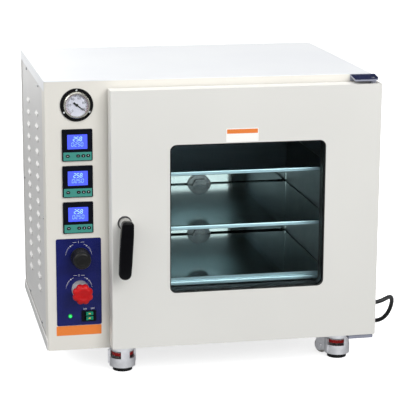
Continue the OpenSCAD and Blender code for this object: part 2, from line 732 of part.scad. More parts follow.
// Handle and latch
striker_slot_w = 22;
striker_slot_h = 44;
tongue_t = 5;
tongue_w = 9;
tongue_l = 30;
tongue_y = sheet_t + 3;
keeper_left = 18;
keeper_right = 20;
keeper_h = 64;
keeper_lip_h = 40;

module handle_bush() {
    color([0.66, 0.66, 0.65]) at_cabinet() difference() {
        union() {
            rod_y(handle_x, handle_z, boss_r + 1.5, door_front - 4, door_front - seam, boss_r + 2.5);
            rod_y(handle_x, handle_z, boss_r - 2, door_front - 1, door_back + 1);
        }
        rod_y(handle_x, handle_z, spindle_r + running, door_front - 5, door_back + 2);
    }
}

// Machined spindle: neck outside, shaft through the bush, tongue in the cabinet's slot
module latch_spindle() {
    color([0.70, 0.70, 0.69]) at_cabinet() union() {
        rod_y(handle_x, handle_z, boss_r, grip_face + grip_t - 6, door_front - 4 - seam);
        rod_y(handle_x, handle_z, spindle_r, door_front - 6, tongue_y + 1);
        panel(handle_x - tongue_w / 2, handle_x + tongue_w / 2, handle_z - tongue_l / 2,
            handle_z + tongue_l / 2, 3, tongue_y, tongue_y + tongue_t);
    }
}

module grip_outline() {
    half_top = grip_w_top / 2;
    half_mid = grip_w_mid / 2;
    half_low = grip_w_mid / 2 - 1;
    r_top = 8;
    polygon(concat(
        arc(half_top - r_top, grip_up - r_top, r_top, 90, 0), [[half_mid, -grip_down * 0.45]],
        arc(half_low - 12, -grip_down + 12, 12, 0, -90), arc(-half_low + 12, -grip_down + 12, 12, -90, -180),
        [[-half_mid, -grip_down * 0.45]], arc(-half_top + r_top, grip_up - r_top, r_top, 180, 90)));
}
module door_handle() {
    neck_in = 5;
    color([0.05, 0.05, 0.06]) at_cabinet()
        translate([handle_x, 0, handle_z]) rotate([0, grip_lean, 0]) difference() {
            intersection() {
                translate([0, grip_face + grip_t, 0]) rotate([90, 0, 0]) linear_extrude(grip_t) grip_outline();
                // side outline: thick at the spindle, thinner at the free end, rounded to the front
                translate([-grip_w_mid, 0, 0]) rotate([90, 0, 90]) linear_extrude(2 * grip_w_mid)
                    polygon(concat([[grip_face + grip_t, grip_up]], arc(grip_face + 6, grip_up - 6, 6, 90, 180),
                        arc(grip_face + 5, -grip_down + 5, 5, 180, 270),
                        [[grip_face + grip_t - 8, -grip_down], [grip_face + grip_t - 5, -grip_down * 0.5],
                        [grip_face + grip_t, -boss_r - 6]]));
            }
            rod_y(0, 0, boss_r + seam, grip_face + grip_t - neck_in - 1.1, grip_face + grip_t + cut);
        }
}

// Keeper plate behind the slot, with a lip beside the tongue
module latch_striker() {
    x0 = handle_x + tongue_l / 2 + 3;
    color([0.60, 0.61, 0.62]) at_cabinet() union() {
        difference() {
            panel(handle_x - keeper_left, handle_x + keeper_right, handle_z - keeper_h / 2,
                handle_z + keeper_h / 2, 4, sheet_t + seam, sheet_t + 2.5);
            panel(handle_x - striker_slot_w / 2, handle_x + striker_slot_w / 2,
                handle_z - striker_slot_h / 2, handle_z + striker_slot_h / 2, 3, 0, 2 * sheet_t + 4);
        }
        box(x0 - 2, x0 + 2, sheet_t + 2, tongue_y + tongue_t - loose, handle_z - keeper_lip_h / 2,
            handle_z + keeper_lip_h / 2);
    }
}

// Pressure gauge
gauge_body_r = gauge_r - 2;
dial_y = -4;
lens_y = -gauge_out + 1.5;
lens_t = 2;
shaft_r = 1.5;
module gauge_case() {
    color([0.12, 0.12, 0.13]) at_cabinet() translate([column_x, 0, gauge_z]) rotate([90, 0, 0]) union() {
        rotate_extrude($fn = 96) polygon([[shaft_r + running, -gauge_body_d], [gauge_body_r, -gauge_body_d], [gauge_body_r, 0],
            [gauge_flange_r, 0], [gauge_flange_r, 2.4], [gauge_flange_r - 0.8, 3], [gauge_r, 3],
            [gauge_r, gauge_out - 1], [gauge_r - 1, gauge_out], [gauge_r - 3.5, gauge_out],
            [gauge_r - 3.5, -lens_y], [gauge_r - 2.2, -lens_y], [gauge_r - 2.2, -lens_y - lens_t - seam],
            [gauge_r - 3.5, -lens_y - lens_t - seam], [gauge_r - 3.5, -dial_y - 1],
            [shaft_r + running, -dial_y - 1]]);
        for (a = [90, 210, 330])
            rotate([0, 0, a]) translate([gauge_flange_r - 4.2, 0, 2.5]) cylinder(h = 1.5, r = 2.2);
    }
}
module gauge_dial() {
    color([0.96, 0.96, 0.95]) at_cabinet() difference() {
        rod_y(column_x, gauge_z, gauge_r - 3.6, dial_y, -(-dial_y - 1) - seam + 0.05);
        rod_y(column_x, gauge_z, shaft_r + running, dial_y - cut, 0);
    }
}
module gauge_lens()
    color([0.9, 0.95, 1, 0.3]) at_cabinet()
        rod_y(column_x, gauge_z, gauge_r - 2.3, lens_y + seam / 2, lens_y + lens_t + seam / 2, gauge_r - 2.3);
module gauge_pointer() {
    needle_l = gauge_r - 8;
    tail_l = 9;
    rest_turn = 37;      // below horizontal, to the right, with no vacuum in the chamber
    color([0.05, 0.05, 0.05]) at_cabinet() translate([column_x, 0, gauge_z]) union() {
        rod_y(0, 0, 2.6, dial_y - 2, dial_y - 0.6);
        rod_y(0, 0, shaft_r, dial_y - 1, 8);
        rotate([0, rest_turn, 0]) along_y(dial_y - 1.6, dial_y - 0.9)
            polygon([[-tail_l, -1.9], [-tail_l, 1.9], [-1, 1], [needle_l, 0.25], [needle_l, -0.25], [-1, -1]]);
    }
}

// Temperature controllers
controller_body_w = controller_w - 6;
controller_body_h = controller_h - 6;
controller_body_d = 58;
screen_up = 7.5;
keys_up = -24;
keys_h = 18;
keys_w = 60.5;
screen_recess = 1.5;
module for_controllers()
    for (i = [0:controllers - 1])
        translate([column_x, 0, controller_z + i * controller_pitch]) children();
module controller_cases() {
    w = controller_w / 2;
    h = controller_h / 2;
    color([0.10, 0.12, 0.17]) at_cabinet() for_controllers() difference() {
        union() {
            panel(-w, w, -h, h, 2.5, -controller_out + 1, -seam);
            panel(-w + 1, w - 1, -h + 1, h - 1, 2, -controller_out, -1);
            box(-controller_body_w / 2, controller_body_w / 2, -1, controller_body_d,
                -controller_body_h / 2, controller_body_h / 2);
        }
        panel(-screen_w / 2 - seam, screen_w / 2 + seam, screen_up - screen_h / 2 - seam,
            screen_up + screen_h / 2 + seam, 1, -controller_out - cut, -controller_out + screen_recess);
        panel(-keys_w / 2 - seam, keys_w / 2 + seam, keys_up - keys_h / 2 - seam,
            keys_up + keys_h / 2 + seam, 1, -controller_out - cut, -controller_out + 0.8);
    }
}
module controller_screens()
    color([0.30, 0.38, 0.95]) at_cabinet() for_controllers()
        panel(-screen_w / 2, screen_w / 2, screen_up - screen_h / 2, screen_up + screen_h / 2, 1,
            -controller_out + 0.3, -controller_out + screen_recess - 0.05);
module controller_keys() {
    key_x = [-21, 1.5, 12.5, 23];
    color([0.24, 0.56, 0.52]) at_cabinet() for_controllers() union() {
        panel(-keys_w / 2, keys_w / 2, keys_up - keys_h / 2, keys_up + keys_h / 2, 1,
            -controller_out, -controller_out + 0.75);
        for (x = key_x)
            panel(x - 4.2, x + 4.2, keys_up - 2.2, keys_up + 4.2, 3, -controller_out - 0.8,
                -controller_out + 0.2);
    }
}

// Control plate with its lamp, switch and valves
valve_neck_r = 9;
lamp_body_r = 4;
switch_body_w = switch_w - 4;
switch_body_h = switch_h - 3;
module control_plate() {
    color([0.11, 0.13, 0.38]) at_cabinet() difference() {
        panel(plate_x0, plate_x0 + plate_w, plate_z, plate_z + plate_h, 4, plate_face, -seam / 2);
        rod_y(valve_x, vacuum_z, valve_neck_r + seam, plate_face - cut, cut);
        rod_y(valve_x, vent_z, valve_neck_r + seam, plate_face - cut, cut);
        rod_y(lamp_x, lamp_z, lamp_body_r + seam, plate_face - cut, cut);
        box(switch_x - switch_body_w / 2 - seam, switch_x + switch_body_w / 2 + seam, plate_face - cut, cut,
            switch_z - switch_body_h / 2 - seam, switch_z + switch_body_h / 2 + seam);
    }
}
module pilot_lamp()
    color([0, 0.85, 0.35]) at_cabinet() union() {
        rod_y(lamp_x, lamp_z, lamp_r, plate_face - 2, plate_face - seam);
        rod_y(lamp_x, lamp_z, lamp_body_r, plate_face - 1, 14);
        intersection() {
            translate([lamp_x, plate_face + 0.5, lamp_z]) sphere(r = lamp_body_r + 1.2);
            rod_y(lamp_x, lamp_z, lamp_body_r, plate_face - 6, plate_face);
        }
    }

rocker_gap = 10.5;       // between the middles of the two rockers
rocker_pivot_y = 6;
rocker_slot = 0.4;
pivot_r = 3;             // round back of a rocker, which turns on the switch body
module switch_frame() {
    frame_y = plate_face - 3;
    color([0.07, 0.07, 0.08]) at_cabinet() difference() {
        union() {
            panel(switch_x - switch_w / 2, switch_x + switch_w / 2, switch_z - switch_h / 2,
                switch_z + switch_h / 2, 2.5, frame_y, plate_face - seam);
            box(switch_x - switch_body_w / 2, switch_x + switch_body_w / 2, frame_y + 1, 22,
                switch_z - switch_body_h / 2, switch_z + switch_body_h / 2);
        }
        for (s = [-1, 1])
            box(switch_x - rocker_l / 2 - rocker_slot, switch_x + rocker_l / 2 + rocker_slot, frame_y - cut,
                18, switch_z + s * rocker_gap / 2 - rocker_w / 2 - 0.25,
                switch_z + s * rocker_gap / 2 + rocker_w / 2 + 0.25);
    }
}
// A rocker turns about an upright pivot and rests pressed to one side
module rocker(s) {
    half = rocker_l / 2 - 0.4;
    reach = rocker_pivot_y - plate_face + 3.6;
    color([0.12, 0.62, 0.48]) at_cabinet()
        translate([switch_x, rocker_pivot_y, switch_z + s * rocker_gap / 2 - rocker_w / 2])
            rotate([0, 0, rocker_tilt]) linear_extrude(rocker_w)
                polygon(concat([[-half + 1.2, -reach - 0.8], [0, -reach + 0.7], [half - 1.2, -reach - 0.8],
                    [half - 1, -reach + 2]], arc(0, 0, pivot_r, 0, 180, 8), [[-half + 1, -reach + 2]]));
}
module power_rocker() rocker(1);
module light_rocker() rocker(-1);

// Valves: bodies behind the panel, necks through it, stems running in their bores
valve_body_l = 40;
valve_body_w = 38;
valve_body_h = 34;
module vacuum_valve() {
    color([0.62, 0.63, 0.64]) at_cabinet() difference() {
        union() {
            rod_y(valve_x, vacuum_z, valve_neck_r, plate_face - 6, 12);
            translate([valve_x, plate_face - seam, vacuum_z]) rotate([90, 0, 0])
                cylinder(h = 5, r = 15, $fn = 6);
            box(valve_x - valve_body_w / 2, valve_x + valve_body_w / 2, sheet_t + seam, valve_body_l,
                vacuum_z - valve_body_h / 2, vacuum_z + valve_body_h / 2);
            rod_y(valve_x, vacuum_z, 14, valve_body_l - 1, valve_body_l + 12);
        }
        rod_y(valve_x, vacuum_z, stem_r + running, plate_face - 8, 26);
    }
}
module vacuum_knob() {
    y1 = plate_face - 10.8;
    flutes = 24;
    cap_h = 8;
    cap_r = vacuum_knob_r - 2;
    color([0.10, 0.10, 0.10]) at_cabinet() union() {
        translate([valve_x, y1, vacuum_z]) rotate([90, 0, 0]) union() {
            linear_extrude(vacuum_knob_t - cap_h) difference() {
                circle(r = vacuum_knob_r, $fn = 96);
                for (i = [0:flutes - 1])
                    rotate(i * 360 / flutes) translate([vacuum_knob_r + 1, 0]) circle(r = 1.9, $fn = 16);
            }
            rotate_extrude($fn = 96) polygon(concat([[0, 1], [cap_r, 1]],
                arc(cap_r - 7, vacuum_knob_t - 7, 7, 0, 90), [[0, vacuum_knob_t]]));
        }
        rod_y(valve_x, vacuum_z, stem_r, y1 - 1, 24);
    }
}
module vent_valve() {
    color([0.72, 0.73, 0.74]) at_cabinet() difference() {
        union() {
            rod_y(valve_x, vent_z, bonnet_r, plate_face - bonnet_l, plate_face - seam, bonnet_r);
            rod_y(valve_x, vent_z, bonnet_r - 4, plate_face - bonnet_l - 3, plate_face - bonnet_l + 1);
            rod_y(valve_x, vent_z, valve_neck_r, plate_face - 1, 12);
            rod_y(valve_x, vent_z, 16, sheet_t + seam, valve_body_l);
            rod_y(valve_x, vent_z, 9, valve_body_l - 1, valve_body_l + 8);
        }
        rod_y(valve_x, vent_z, stem_r + running, plate_face - bonnet_l - 4, 26);
    }
}
module vent_knob() {
    y1 = plate_face - bonnet_l - 3.5;
    lobes = 8;
    lobe_r = 7.4;
    core_r = vent_knob_r - 3;
    color([0.76, 0.12, 0.10]) at_cabinet() union() {
        translate([valve_x, y1, vent_z]) rotate([90, 0, 0]) union() {
            cylinder(h = vent_knob_t - 4, r = core_r);
            translate([0, 0, vent_knob_t - 5]) cylinder(h = 5, r1 = core_r - 1, r2 = core_r - 5);
            for (i = [0:lobes - 1])
                rotate([0, 0, i * 360 / lobes]) translate([vent_knob_r - lobe_r, 0, 2]) union() {
                    cylinder(h = vent_knob_t - 7, r = lobe_r, $fn = 32);
                    translate([0, 0, vent_knob_t - 7.2]) cylinder(h = 3, r1 = lobe_r, r2 = lobe_r - 2.4, $fn = 32);
                }
        }
        rod_y(valve_x, vent_z, stem_r, y1 - 1, 24);
    }
}

// Pipes in the left bay: pump line with its tee, vent line and gauge line
pipe_y = 250;
vent_pipe_y = 120;
gauge_pipe_y = 95;
gauge_pipe_z = 400;
module vacuum_pipes() {
    wall_x = chamber_x0 - chamber_wall - seam;
    color([0.74, 0.75, 0.76]) at_cabinet() {
        union() {
            rod_y(valve_x, vacuum_z, pipe_r, valve_body_l + 12 + seam, cabinet_d - seam);
            rod_x(pipe_y, vacuum_z, pipe_r, valve_x, wall_x);
        }
        union() {
            rod_y(valve_x, vent_z, tube_r, valve_body_l + 8 + seam, vent_pipe_y);
            translate([valve_x, vent_pipe_y, vent_z]) sphere(r = tube_r);
            rod_x(vent_pipe_y, vent_z, tube_r, valve_x, wall_x);
        }
        union() {
            rod_y(column_x, gauge_z, tube_r, gauge_body_d + seam, gauge_pipe_y);
            translate([column_x, gauge_pipe_y, gauge_z]) sphere(r = tube_r);
            rod_z(column_x, gauge_pipe_y, tube_r, gauge_pipe_z, gauge_z);
            translate([column_x, gauge_pipe_y, gauge_pipe_z]) sphere(r = tube_r);
            rod_x(gauge_pipe_y, gauge_pipe_z, tube_r, column_x, wall_x);
        }
    }
}
// Small-flange pump port on the rear panel
module rear_port() {
    color([0.70, 0.71, 0.72]) at_cabinet() translate([valve_x, cabinet_d + seam, vacuum_z])
        rotate([-90, 0, 0]) rotate_extrude($fn = 96) polygon([[0, 0], [28, 0], [28, 2.5], [pump_bore_r + 1.6, 2.5],
            [pump_bore_r + 1.6, pump_port_l - 8.5], [pump_bore_r + 6.9, pump_port_l - 3.4],
            [pump_bore_r + 6.9, pump_port_l - seam], [pump_bore_r, pump_port_l - seam], [pump_bore_r, 5], [0, 5]]);
}

// Levelling casters. Local frame: swivel axis at x = y = 0, floor at z = 0, wheel towards +X
caster_names = ["fl", "fr", "rl", "rr"];
caster_x = [caster_left, cabinet_w - caster_right, caster_left, cabinet_w - caster_right];
caster_depth = [caster_y, caster_y, cabinet_d - caster_y, cabinet_d - caster_y];
caster_turn = [95, 128, 265, 80];
king_r = 10;
top_plate_t = 4;
yoke_top = foot_h - top_plate_t - loose;
housing_wall = 3.5;
housing_z0 = pad_h + 1;
web_z = pad_h + 6.6;
web_t = 4;
stud_r = 6;
axle_r = 3;
axle_z = wheel_r + wheel_lift;
cheek_t = 4;
cheek_y = wheel_w / 2 + 0.5;
hub_r = 11.6;
window_z0 = 31;
window_z1 = 48;
thumb_z0 = 36;
thumb_t = 9;
module at_caster(i)
    at_cabinet() translate([caster_x[i], caster_depth[i], -foot_h]) rotate([0, 0, caster_turn[i]]) children();

module caster_plates() {
    h = caster_plate_w / 2;
    color([0.70, 0.71, 0.72]) at_cabinet() for (i = [0:3])
        translate([caster_x[i], caster_depth[i], -seam]) union() {
            translate([0, 0, -top_plate_t + seam]) linear_extrude(top_plate_t - seam)
                polygon(round_rect(-h, h, -h, h, 6));
            translate([0, 0, -top_plate_t - 7]) cylinder(h = 8, r = king_r);
            for (sx = [-1, 1], sy = [-1, 1])
                translate([sx * (h - 8), sy * (h - 8), -top_plate_t - 1.8]) cylinder(h = 2.5, r = 4);
        }
}

module caster_yoke(i) {
    color([0.75, 0.76, 0.77]) at_caster(i) difference() {
        union() {
            difference() {
                rod_z(0, 0, housing_r, housing_z0, yoke_top - 2.4);
                rod_z(0, 0, housing_r - housing_wall, housing_z0 - cut, yoke_top - 6.5);
                // side windows that show the thumbwheel
                for (s = [-1, 1])
                    rotate([0, 0, 180 + s * 61]) translate([housing_r, 0, 0])
                        box(-housing_r, housing_r, -19, 19, window_z0, window_z1);
            }
            difference() {
                rod_z(0, 0, housing_r - 1, web_z, web_z + web_t);
                rod_z(0, 0, stud_r + running, web_z - cut, web_z + web_t + cut);
            }
            for (s = [-1, 1])
                rotate([0, 0, 180 + s * 100]) box(housing_r - 2, housing_r + 3.5, -2, 2, housing_z0 + 5, window_z1 - 2);
            for (s = [-1, 1])
                translate([0, s > 0 ? cheek_y + cheek_t : -cheek_y, 0]) rotate([90, 0, 0])
                    linear_extrude(cheek_t) union() {
                        translate([wheel_offset, axle_z]) circle(r = hub_r);
                        polygon([[housing_r - 5, housing_z0 + 2], [wheel_offset - 4, axle_z - hub_r + 1],
                            [wheel_offset + hub_r, axle_z], [wheel_offset + 6, yoke_top - 3],
                            [housing_r - 5, yoke_top - 3]]);
                    }
            box(housing_r - 5, wheel_offset + 6, -cheek_y - cheek_t, cheek_y + cheek_t, yoke_top - 12,
                yoke_top - 3);
        }
        // room for the wheel and the king pin
        box(housing_r - 9, housing_r + 30, -cheek_y, cheek_y, -cut, axle_z + wheel_r + 2);
        rod_z(0, 0, king_r + running, yoke_top - 9, foot_h);
    }
    color([0.75, 0.76, 0.77]) at_caster(i)
        rotate([90, 0, 0]) translate([wheel_offset, axle_z, 0]) union() {
            translate([0, 0, -cheek_y - cheek_t - 1.5]) cylinder(h = 2 * (cheek_y + cheek_t + 1.5), r = axle_r);
            for (s = [-1, 1])
                translate([0, 0, s * (cheek_y + cheek_t + 0.9) - 0.9]) cylinder(h = 1.8, r = 5);
        }
}

module caster_wheel(i) {
    half = wheel_w / 2;
    color([0.88, 0.88, 0.86]) at_caster(i) translate([wheel_offset, 0, axle_z]) rotate([90, 0, 0])
        rotate_extrude($fn = 72) polygon([[axle_r + running, -half], [8, -half], [8, -half + 2],
            [wheel_r - 4, -half + 2], [wheel_r - 3, -half], [wheel_r - 1.2, -half], [wheel_r, -half + 1.5],
            [wheel_r, half - 1.5], [wheel_r - 1.2, half], [wheel_r - 3, half], [wheel_r - 4, half - 2],
            [8, half - 2], [8, half], [axle_r + running, half]]);
}

module levelling_foot(i) {
    teeth = 16;
    color([0.15, 0.10, 0.10]) at_caster(i) union() {
        rod_z(0, 0, pad_r, 0, pad_h / 2);
        rod_z(0, 0, pad_r, pad_h / 2 - 0.1, pad_h, pad_r - 2);
        rod_z(0, 0, stud_r, pad_h - 1, thumb_z0 + thumb_t + 2);
        difference() {
            rod_z(0, 0, thumb_r, thumb_z0, thumb_z0 + thumb_t);
            for (i = [0:teeth - 1])
                rotate([0, 0, i * 360 / teeth]) translate([thumb_r + 1, 0, thumb_z0 - cut])
                    cylinder(h = thumb_t + 2 * cut, r = 2.4, $fn = 16);
        }
    }
}
module caster_yoke_fl() caster_yoke(0);
module caster_yoke_fr() caster_yoke(1);
module caster_yoke_rl() caster_yoke(2);
module caster_yoke_rr() caster_yoke(3);
module caster_wheel_fl() caster_wheel(0);
module caster_wheel_fr() caster_wheel(1);
module caster_wheel_rl() caster_wheel(2);
module caster_wheel_rr() caster_wheel(3);
module levelling_foot_fl() levelling_foot(0);
module levelling_foot_fr() levelling_foot(1);
module levelling_foot_rl() levelling_foot(2);
module levelling_foot_rr() levelling_foot(3);

// Power cord, in the cabinet's corner frame, from the strain relief to the coil on the floor
relief_neck_r = 8;
relief_tip = cabinet_w - side_x + relief_l;
cord_points = [[relief_tip, 70, 47], [754, 70, 47], [763, 73, 46.7], [776, 82, 45], [793, 97, 43.5], [809, 116, 42],
    [823, 136, 38.5], [836, 158, 30], [845, 180, 15], [850, 200, -3], [851, 218, -22], [848, 234, -39],
    [842, 248, -51], [834, 261, -58], [824, 275, -60], [813, 292, -60], [806, 312, -60], [806, 334, -60],
    [812, 354, -60], [824, 372, -60]];
coil_r = 55;
coil_x = 790;
coil_y = 425;
module strain_relief()
    color([0.06, 0.06, 0.07]) at_cabinet() translate([cabinet_w - side_x, cord_exit_y, cord_exit_z])
        rotate([0, 90, 0]) rotate_extrude() polygon([[0, -sheet_t - 5], [relief_neck_r + 1.5, -sheet_t - 5],
            [relief_neck_r + 1.5, -sheet_t - 2], [relief_neck_r, -sheet_t - seam], [relief_neck_r, seam],
            [relief_neck_r + 3, seam], [relief_neck_r + 3, 4], [relief_neck_r, 6], [cord_d / 2 + 1, relief_l],
            [0, relief_l]]);

function unit(v) = v / norm(v);
function tangent(p, i) = unit(p[min(i + 1, len(p) - 1)] - p[max(i - 1, 0)]);
// One ring of the tube, square to the route
function ring(p, i, r, n) = let (t = tangent(p, i), s = unit(cross([0, 0, 1], t)), u = cross(t, s))
    [for (k = [0:n - 1]) p[i] + r * (cos(k * 360 / n) * s + sin(k * 360 / n) * u)];
module tube(p, r, n) {
    m = len(p);
    polyhedron(points = [for (i = [0:m - 1]) each ring(p, i, r, n)],
        faces = concat([[for (k = [0:n - 1]) k]], [[for (k = [0:n - 1]) m * n - 1 - k]],
            [for (i = [0:m - 2], k = [0:n - 1]) [i * n + k, (i + 1) * n + k,
                (i + 1) * n + (k + 1) % n, i * n + (k + 1) % n]]));
}
module power_cord() color([0.06, 0.06, 0.07]) at_cabinet() tube(cord_points, cord_d / 2, 10);
module cord_coil()
    color([0.06, 0.06, 0.07]) at_cabinet() translate([coil_x, coil_y, -foot_h]) rotate_extrude()
        polygon(round_rect(coil_r - cord_d, coil_r + cord_d, 0, 2 * cord_d, cord_d / 2, 3));
// Moulded plug with two flat blades and a round earth pin, lying on the coil
plug_face = -22;     // of the body, from the coil's middle
plug_l = 36;
plug_w = 26;
plug_h = 20;
plug_cuff_l = 16;
plug_cuff_r = 7;
blade_l = 18;
blade_w = 6;
blade_t = 1.6;
blade_gap = 13;      // between the middles of the two blades
earth_l = 20;
earth_r = 2.4;
earth_z = 4;
module power_plug() {
    color([0.06, 0.06, 0.07]) at_cabinet() translate([coil_x, coil_y + coil_r, -foot_h + cord_d * 2]) union() {
        box(plug_face, plug_face + plug_l, -plug_w / 2, plug_w / 2, 0, plug_h);
        rod_x(0, plug_h / 2, plug_cuff_r, plug_face + plug_l - 1, plug_face + plug_l + plug_cuff_l, cord_d / 2);
        for (side = [-1, 1])
            box(plug_face - blade_l, plug_face + 1, side * blade_gap / 2 - blade_t / 2,
                side * blade_gap / 2 + blade_t / 2, plug_h / 2 - blade_w / 2, plug_h / 2 + blade_w / 2);
        rod_x(0, earth_z, earth_r, plug_face - earth_l, plug_face + 1);
    }
}

front_panel();
top_cover();
left_side_panel();
right_side_panel();
rear_panel();
base_pan();
cabinet_screws();
vacuum_chamber();
door_gasket();
shelf_rails();
shelf_ports();
insulation();
chamber_lamp();
hinge_brackets();
hinge_pins();
latch_striker();
gauge_case();
gauge_dial();
gauge_lens();
gauge_pointer();
control_plate();
controller_cases();
controller_screens();
controller_keys();
pilot_lamp();
switch_frame();
power_rocker();
light_rocker();
vacuum_valve();
vacuum_knob();
vent_valve();
vent_knob();
vacuum_pipes();
rear_port();
caster_plates();
strain_relief();
power_cord();
cord_coil();
power_plug();
door_shell();
door_liner();
window_glass();
handle_bush();
door_handle();
latch_spindle();
shelf_upper();
shelf_middle();
shelf_lower();
caster_yoke_fl();
caster_yoke_fr();
caster_yoke_rl();
caster_yoke_rr();
caster_wheel_fl();
caster_wheel_fr();
caster_wheel_rl();
caster_wheel_rr();
levelling_foot_fl();
levelling_foot_fr();
levelling_foot_rl();
levelling_foot_rr();
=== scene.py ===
# Bench vacuum oven: finish, printed marks, knobs, grip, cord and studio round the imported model.
from math import atan2, cos, degrees, pi, radians, sin, tan
import bmesh
import bpy
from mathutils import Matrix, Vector


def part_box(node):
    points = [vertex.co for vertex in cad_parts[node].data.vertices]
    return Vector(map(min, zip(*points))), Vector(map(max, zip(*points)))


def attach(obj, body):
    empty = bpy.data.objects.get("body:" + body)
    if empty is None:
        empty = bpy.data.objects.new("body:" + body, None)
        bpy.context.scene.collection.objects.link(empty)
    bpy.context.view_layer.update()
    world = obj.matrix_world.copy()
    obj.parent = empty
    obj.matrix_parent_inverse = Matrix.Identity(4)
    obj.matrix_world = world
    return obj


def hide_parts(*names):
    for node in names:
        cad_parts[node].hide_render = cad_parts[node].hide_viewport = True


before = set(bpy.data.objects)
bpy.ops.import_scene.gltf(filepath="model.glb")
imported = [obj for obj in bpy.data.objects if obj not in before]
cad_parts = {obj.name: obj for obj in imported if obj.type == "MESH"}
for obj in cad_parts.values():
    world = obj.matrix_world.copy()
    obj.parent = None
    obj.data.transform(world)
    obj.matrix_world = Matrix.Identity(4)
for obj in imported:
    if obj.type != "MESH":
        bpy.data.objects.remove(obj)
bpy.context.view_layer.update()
mm = 0.001
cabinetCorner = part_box("front_panel")[0]  # front, lower left corner of the cabinet


def inCabinet(x, y, z):
    # millimetres from the cabinet's corner to metres in the row's frame
    return cabinetCorner + Vector((x, y, z)) * mm


def middle(node):
    low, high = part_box(node)
    return (low + high) / 2


def atDepth(place, y):
    return Vector((place.x, y, place.z))


def frontOf(node):
    # middle of a node's front face
    return atDepth(middle(node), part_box(node)[0].y)


def mode(name):
    bpy.ops.object.mode_set(mode=name)


def selectAll():
    bpy.ops.mesh.select_all(action="SELECT")


def bakePlace():
    bpy.ops.object.transform_apply(location=True, rotation=True, scale=True)


def resize(value, centre=(0, 0, 0)):
    bpy.ops.transform.resize(value=value, center_override=tuple(centre))


def cutAt(place):
    # a level cut through all of the piece
    selectAll()
    bpy.ops.mesh.bisect(plane_co=place, plane_no=(0, 0, 1))


def take(piece):
    bpy.ops.object.select_all(action="DESELECT")
    piece.select_set(True)
    bpy.context.view_layer.objects.active = piece


def pick(piece, kind, test):
    # in edit mode: select the verts, edges or faces for which the test holds
    bpy.ops.mesh.select_all(action="DESELECT")
    bpy.ops.mesh.select_mode(type={"verts": "VERT", "edges": "EDGE", "faces": "FACE"}[kind])
    mesh = bmesh.from_edit_mesh(piece.data)
    for part in getattr(mesh, kind):
        part.select_set(bool(test(part)))
    mesh.select_flush_mode()
    bmesh.update_edit_mesh(piece.data)


def settle(piece, name, body, material, angle=35):
    # own name and finish, place baked into the mesh, outward faces, smooth shading, body and slot
    take(piece)
    piece.name = piece.data.name = name
    piece.data.materials.clear()
    piece.data.materials.append(material)
    bakePlace()
    mode("EDIT")
    selectAll()
    bpy.ops.mesh.remove_doubles(threshold=0.002 * mm)
    bpy.ops.mesh.normals_make_consistent(inside=False)
    mode("OBJECT")
    bpy.ops.object.shade_smooth_by_angle(angle=radians(angle))
    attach(piece, body)
    return piece


def addModifier(piece, kind, **settings):
    take(piece)
    bpy.ops.object.modifier_add(type=kind)
    modifier = piece.modifiers[-1]
    for key, value in settings.items():
        setattr(modifier, key, value)
    bpy.ops.object.modifier_apply(modifier=modifier.name)


def addBevel(piece, widthMm, segments, **limits):
    addModifier(piece, "BEVEL", width=widthMm * mm, segments=segments, **limits)


def addBlock(low, high):
    bpy.ops.mesh.primitive_cube_add(size=1, location=(low + high) / 2)
    block = bpy.context.object
    block.scale = high - low
    bakePlace()
    return block


def addTurned(rings, sides=48):
    # a turned piece along local Z, from (distance, radius) rings in millimetres
    distance, radius = rings[0]
    bpy.ops.mesh.primitive_circle_add(vertices=sides, radius=radius * mm, fill_type="NGON",
                                      location=(0, 0, distance * mm))
    piece = bpy.context.object
    bakePlace()
    mode("EDIT")
    selectAll()
    for nextDistance, nextRadius in rings[1:]:
        step = (nextDistance - distance) * mm
        bpy.ops.mesh.extrude_region_move(TRANSFORM_OT_translate={"value": (0, 0, step)})
        grow = nextRadius / radius
        resize((grow, grow, 1), (0, 0, nextDistance * mm))
        distance, radius = nextDistance, nextRadius
    mode("OBJECT")
    return piece


def faceFront(piece, origin):
    # a piece drawn flat in local X and Y is stood upright, its local Z towards the front
    take(piece)
    bakePlace()
    piece.rotation_euler = (pi / 2, 0, 0)
    piece.location = origin
    bakePlace()
    return piece


def joinAll(pieces):
    take(pieces[0])
    for piece in pieces:
        piece.select_set(True)
    bpy.ops.object.join()
    return bpy.context.object


# camera

viewPoint = {
    "place": (-0.72054, -3.60090, 1.19272),
    "turnDeg": (76.6215, -0.3065, -11.8213),
    "lens": 140.05,  # mm on a 36 mm sensor
    "sensor": 36,
}
bpy.ops.object.camera_add(location=viewPoint["place"],
                          rotation=[radians(a) for a in viewPoint["turnDeg"]])
camera = bpy.context.object
camera.data.lens = viewPoint["lens"]
camera.data.sensor_width = viewPoint["sensor"]
camera.data.clip_end = 100
bpy.context.scene.camera = camera
print("camera set")


# power cord: out of the gland, down behind the cabinet's side, into a coil on the floor

cordWay = {
    "diameter": 10 * mm,
    # millimetres in the cabinet's frame, as in the part's source
    "free": [(748.4, 70, 47), (754, 70, 47), (763, 73, 46.7), (776, 82, 45), (793, 97, 43.5),
             (809, 116, 42), (823, 136, 38.5), (836, 158, 30), (845, 180, 15), (850, 200, -3),
             (851, 218, -22), (848, 234, -39), (842, 248, -51), (834, 261, -58), (824, 275, -60),
             (813, 292, -60), (806, 312, -60), (806, 334, -60), (812, 354, -60)],
    "coilCentre": (790, 425),
    "turnRadius": (60, 50),  # outer and inner turns
    "floor": -65, "startDeg": -57, "stepDeg": 20,
    "turnedDeg": 1540,  # four turns and the last stretch to the plug
    # degrees round the coil between which it moves in, up a layer, out, up again, and to the plug
    "moveIn": (265, 360), "rise": (590, 665), "moveOut": (905, 1000),
    "riseAgain": (1230, 1335), "toPlug": (1440, 1560),
    "plugEntry": [(826, 476.3, -35.4), (819.5, 480, -35)],
}


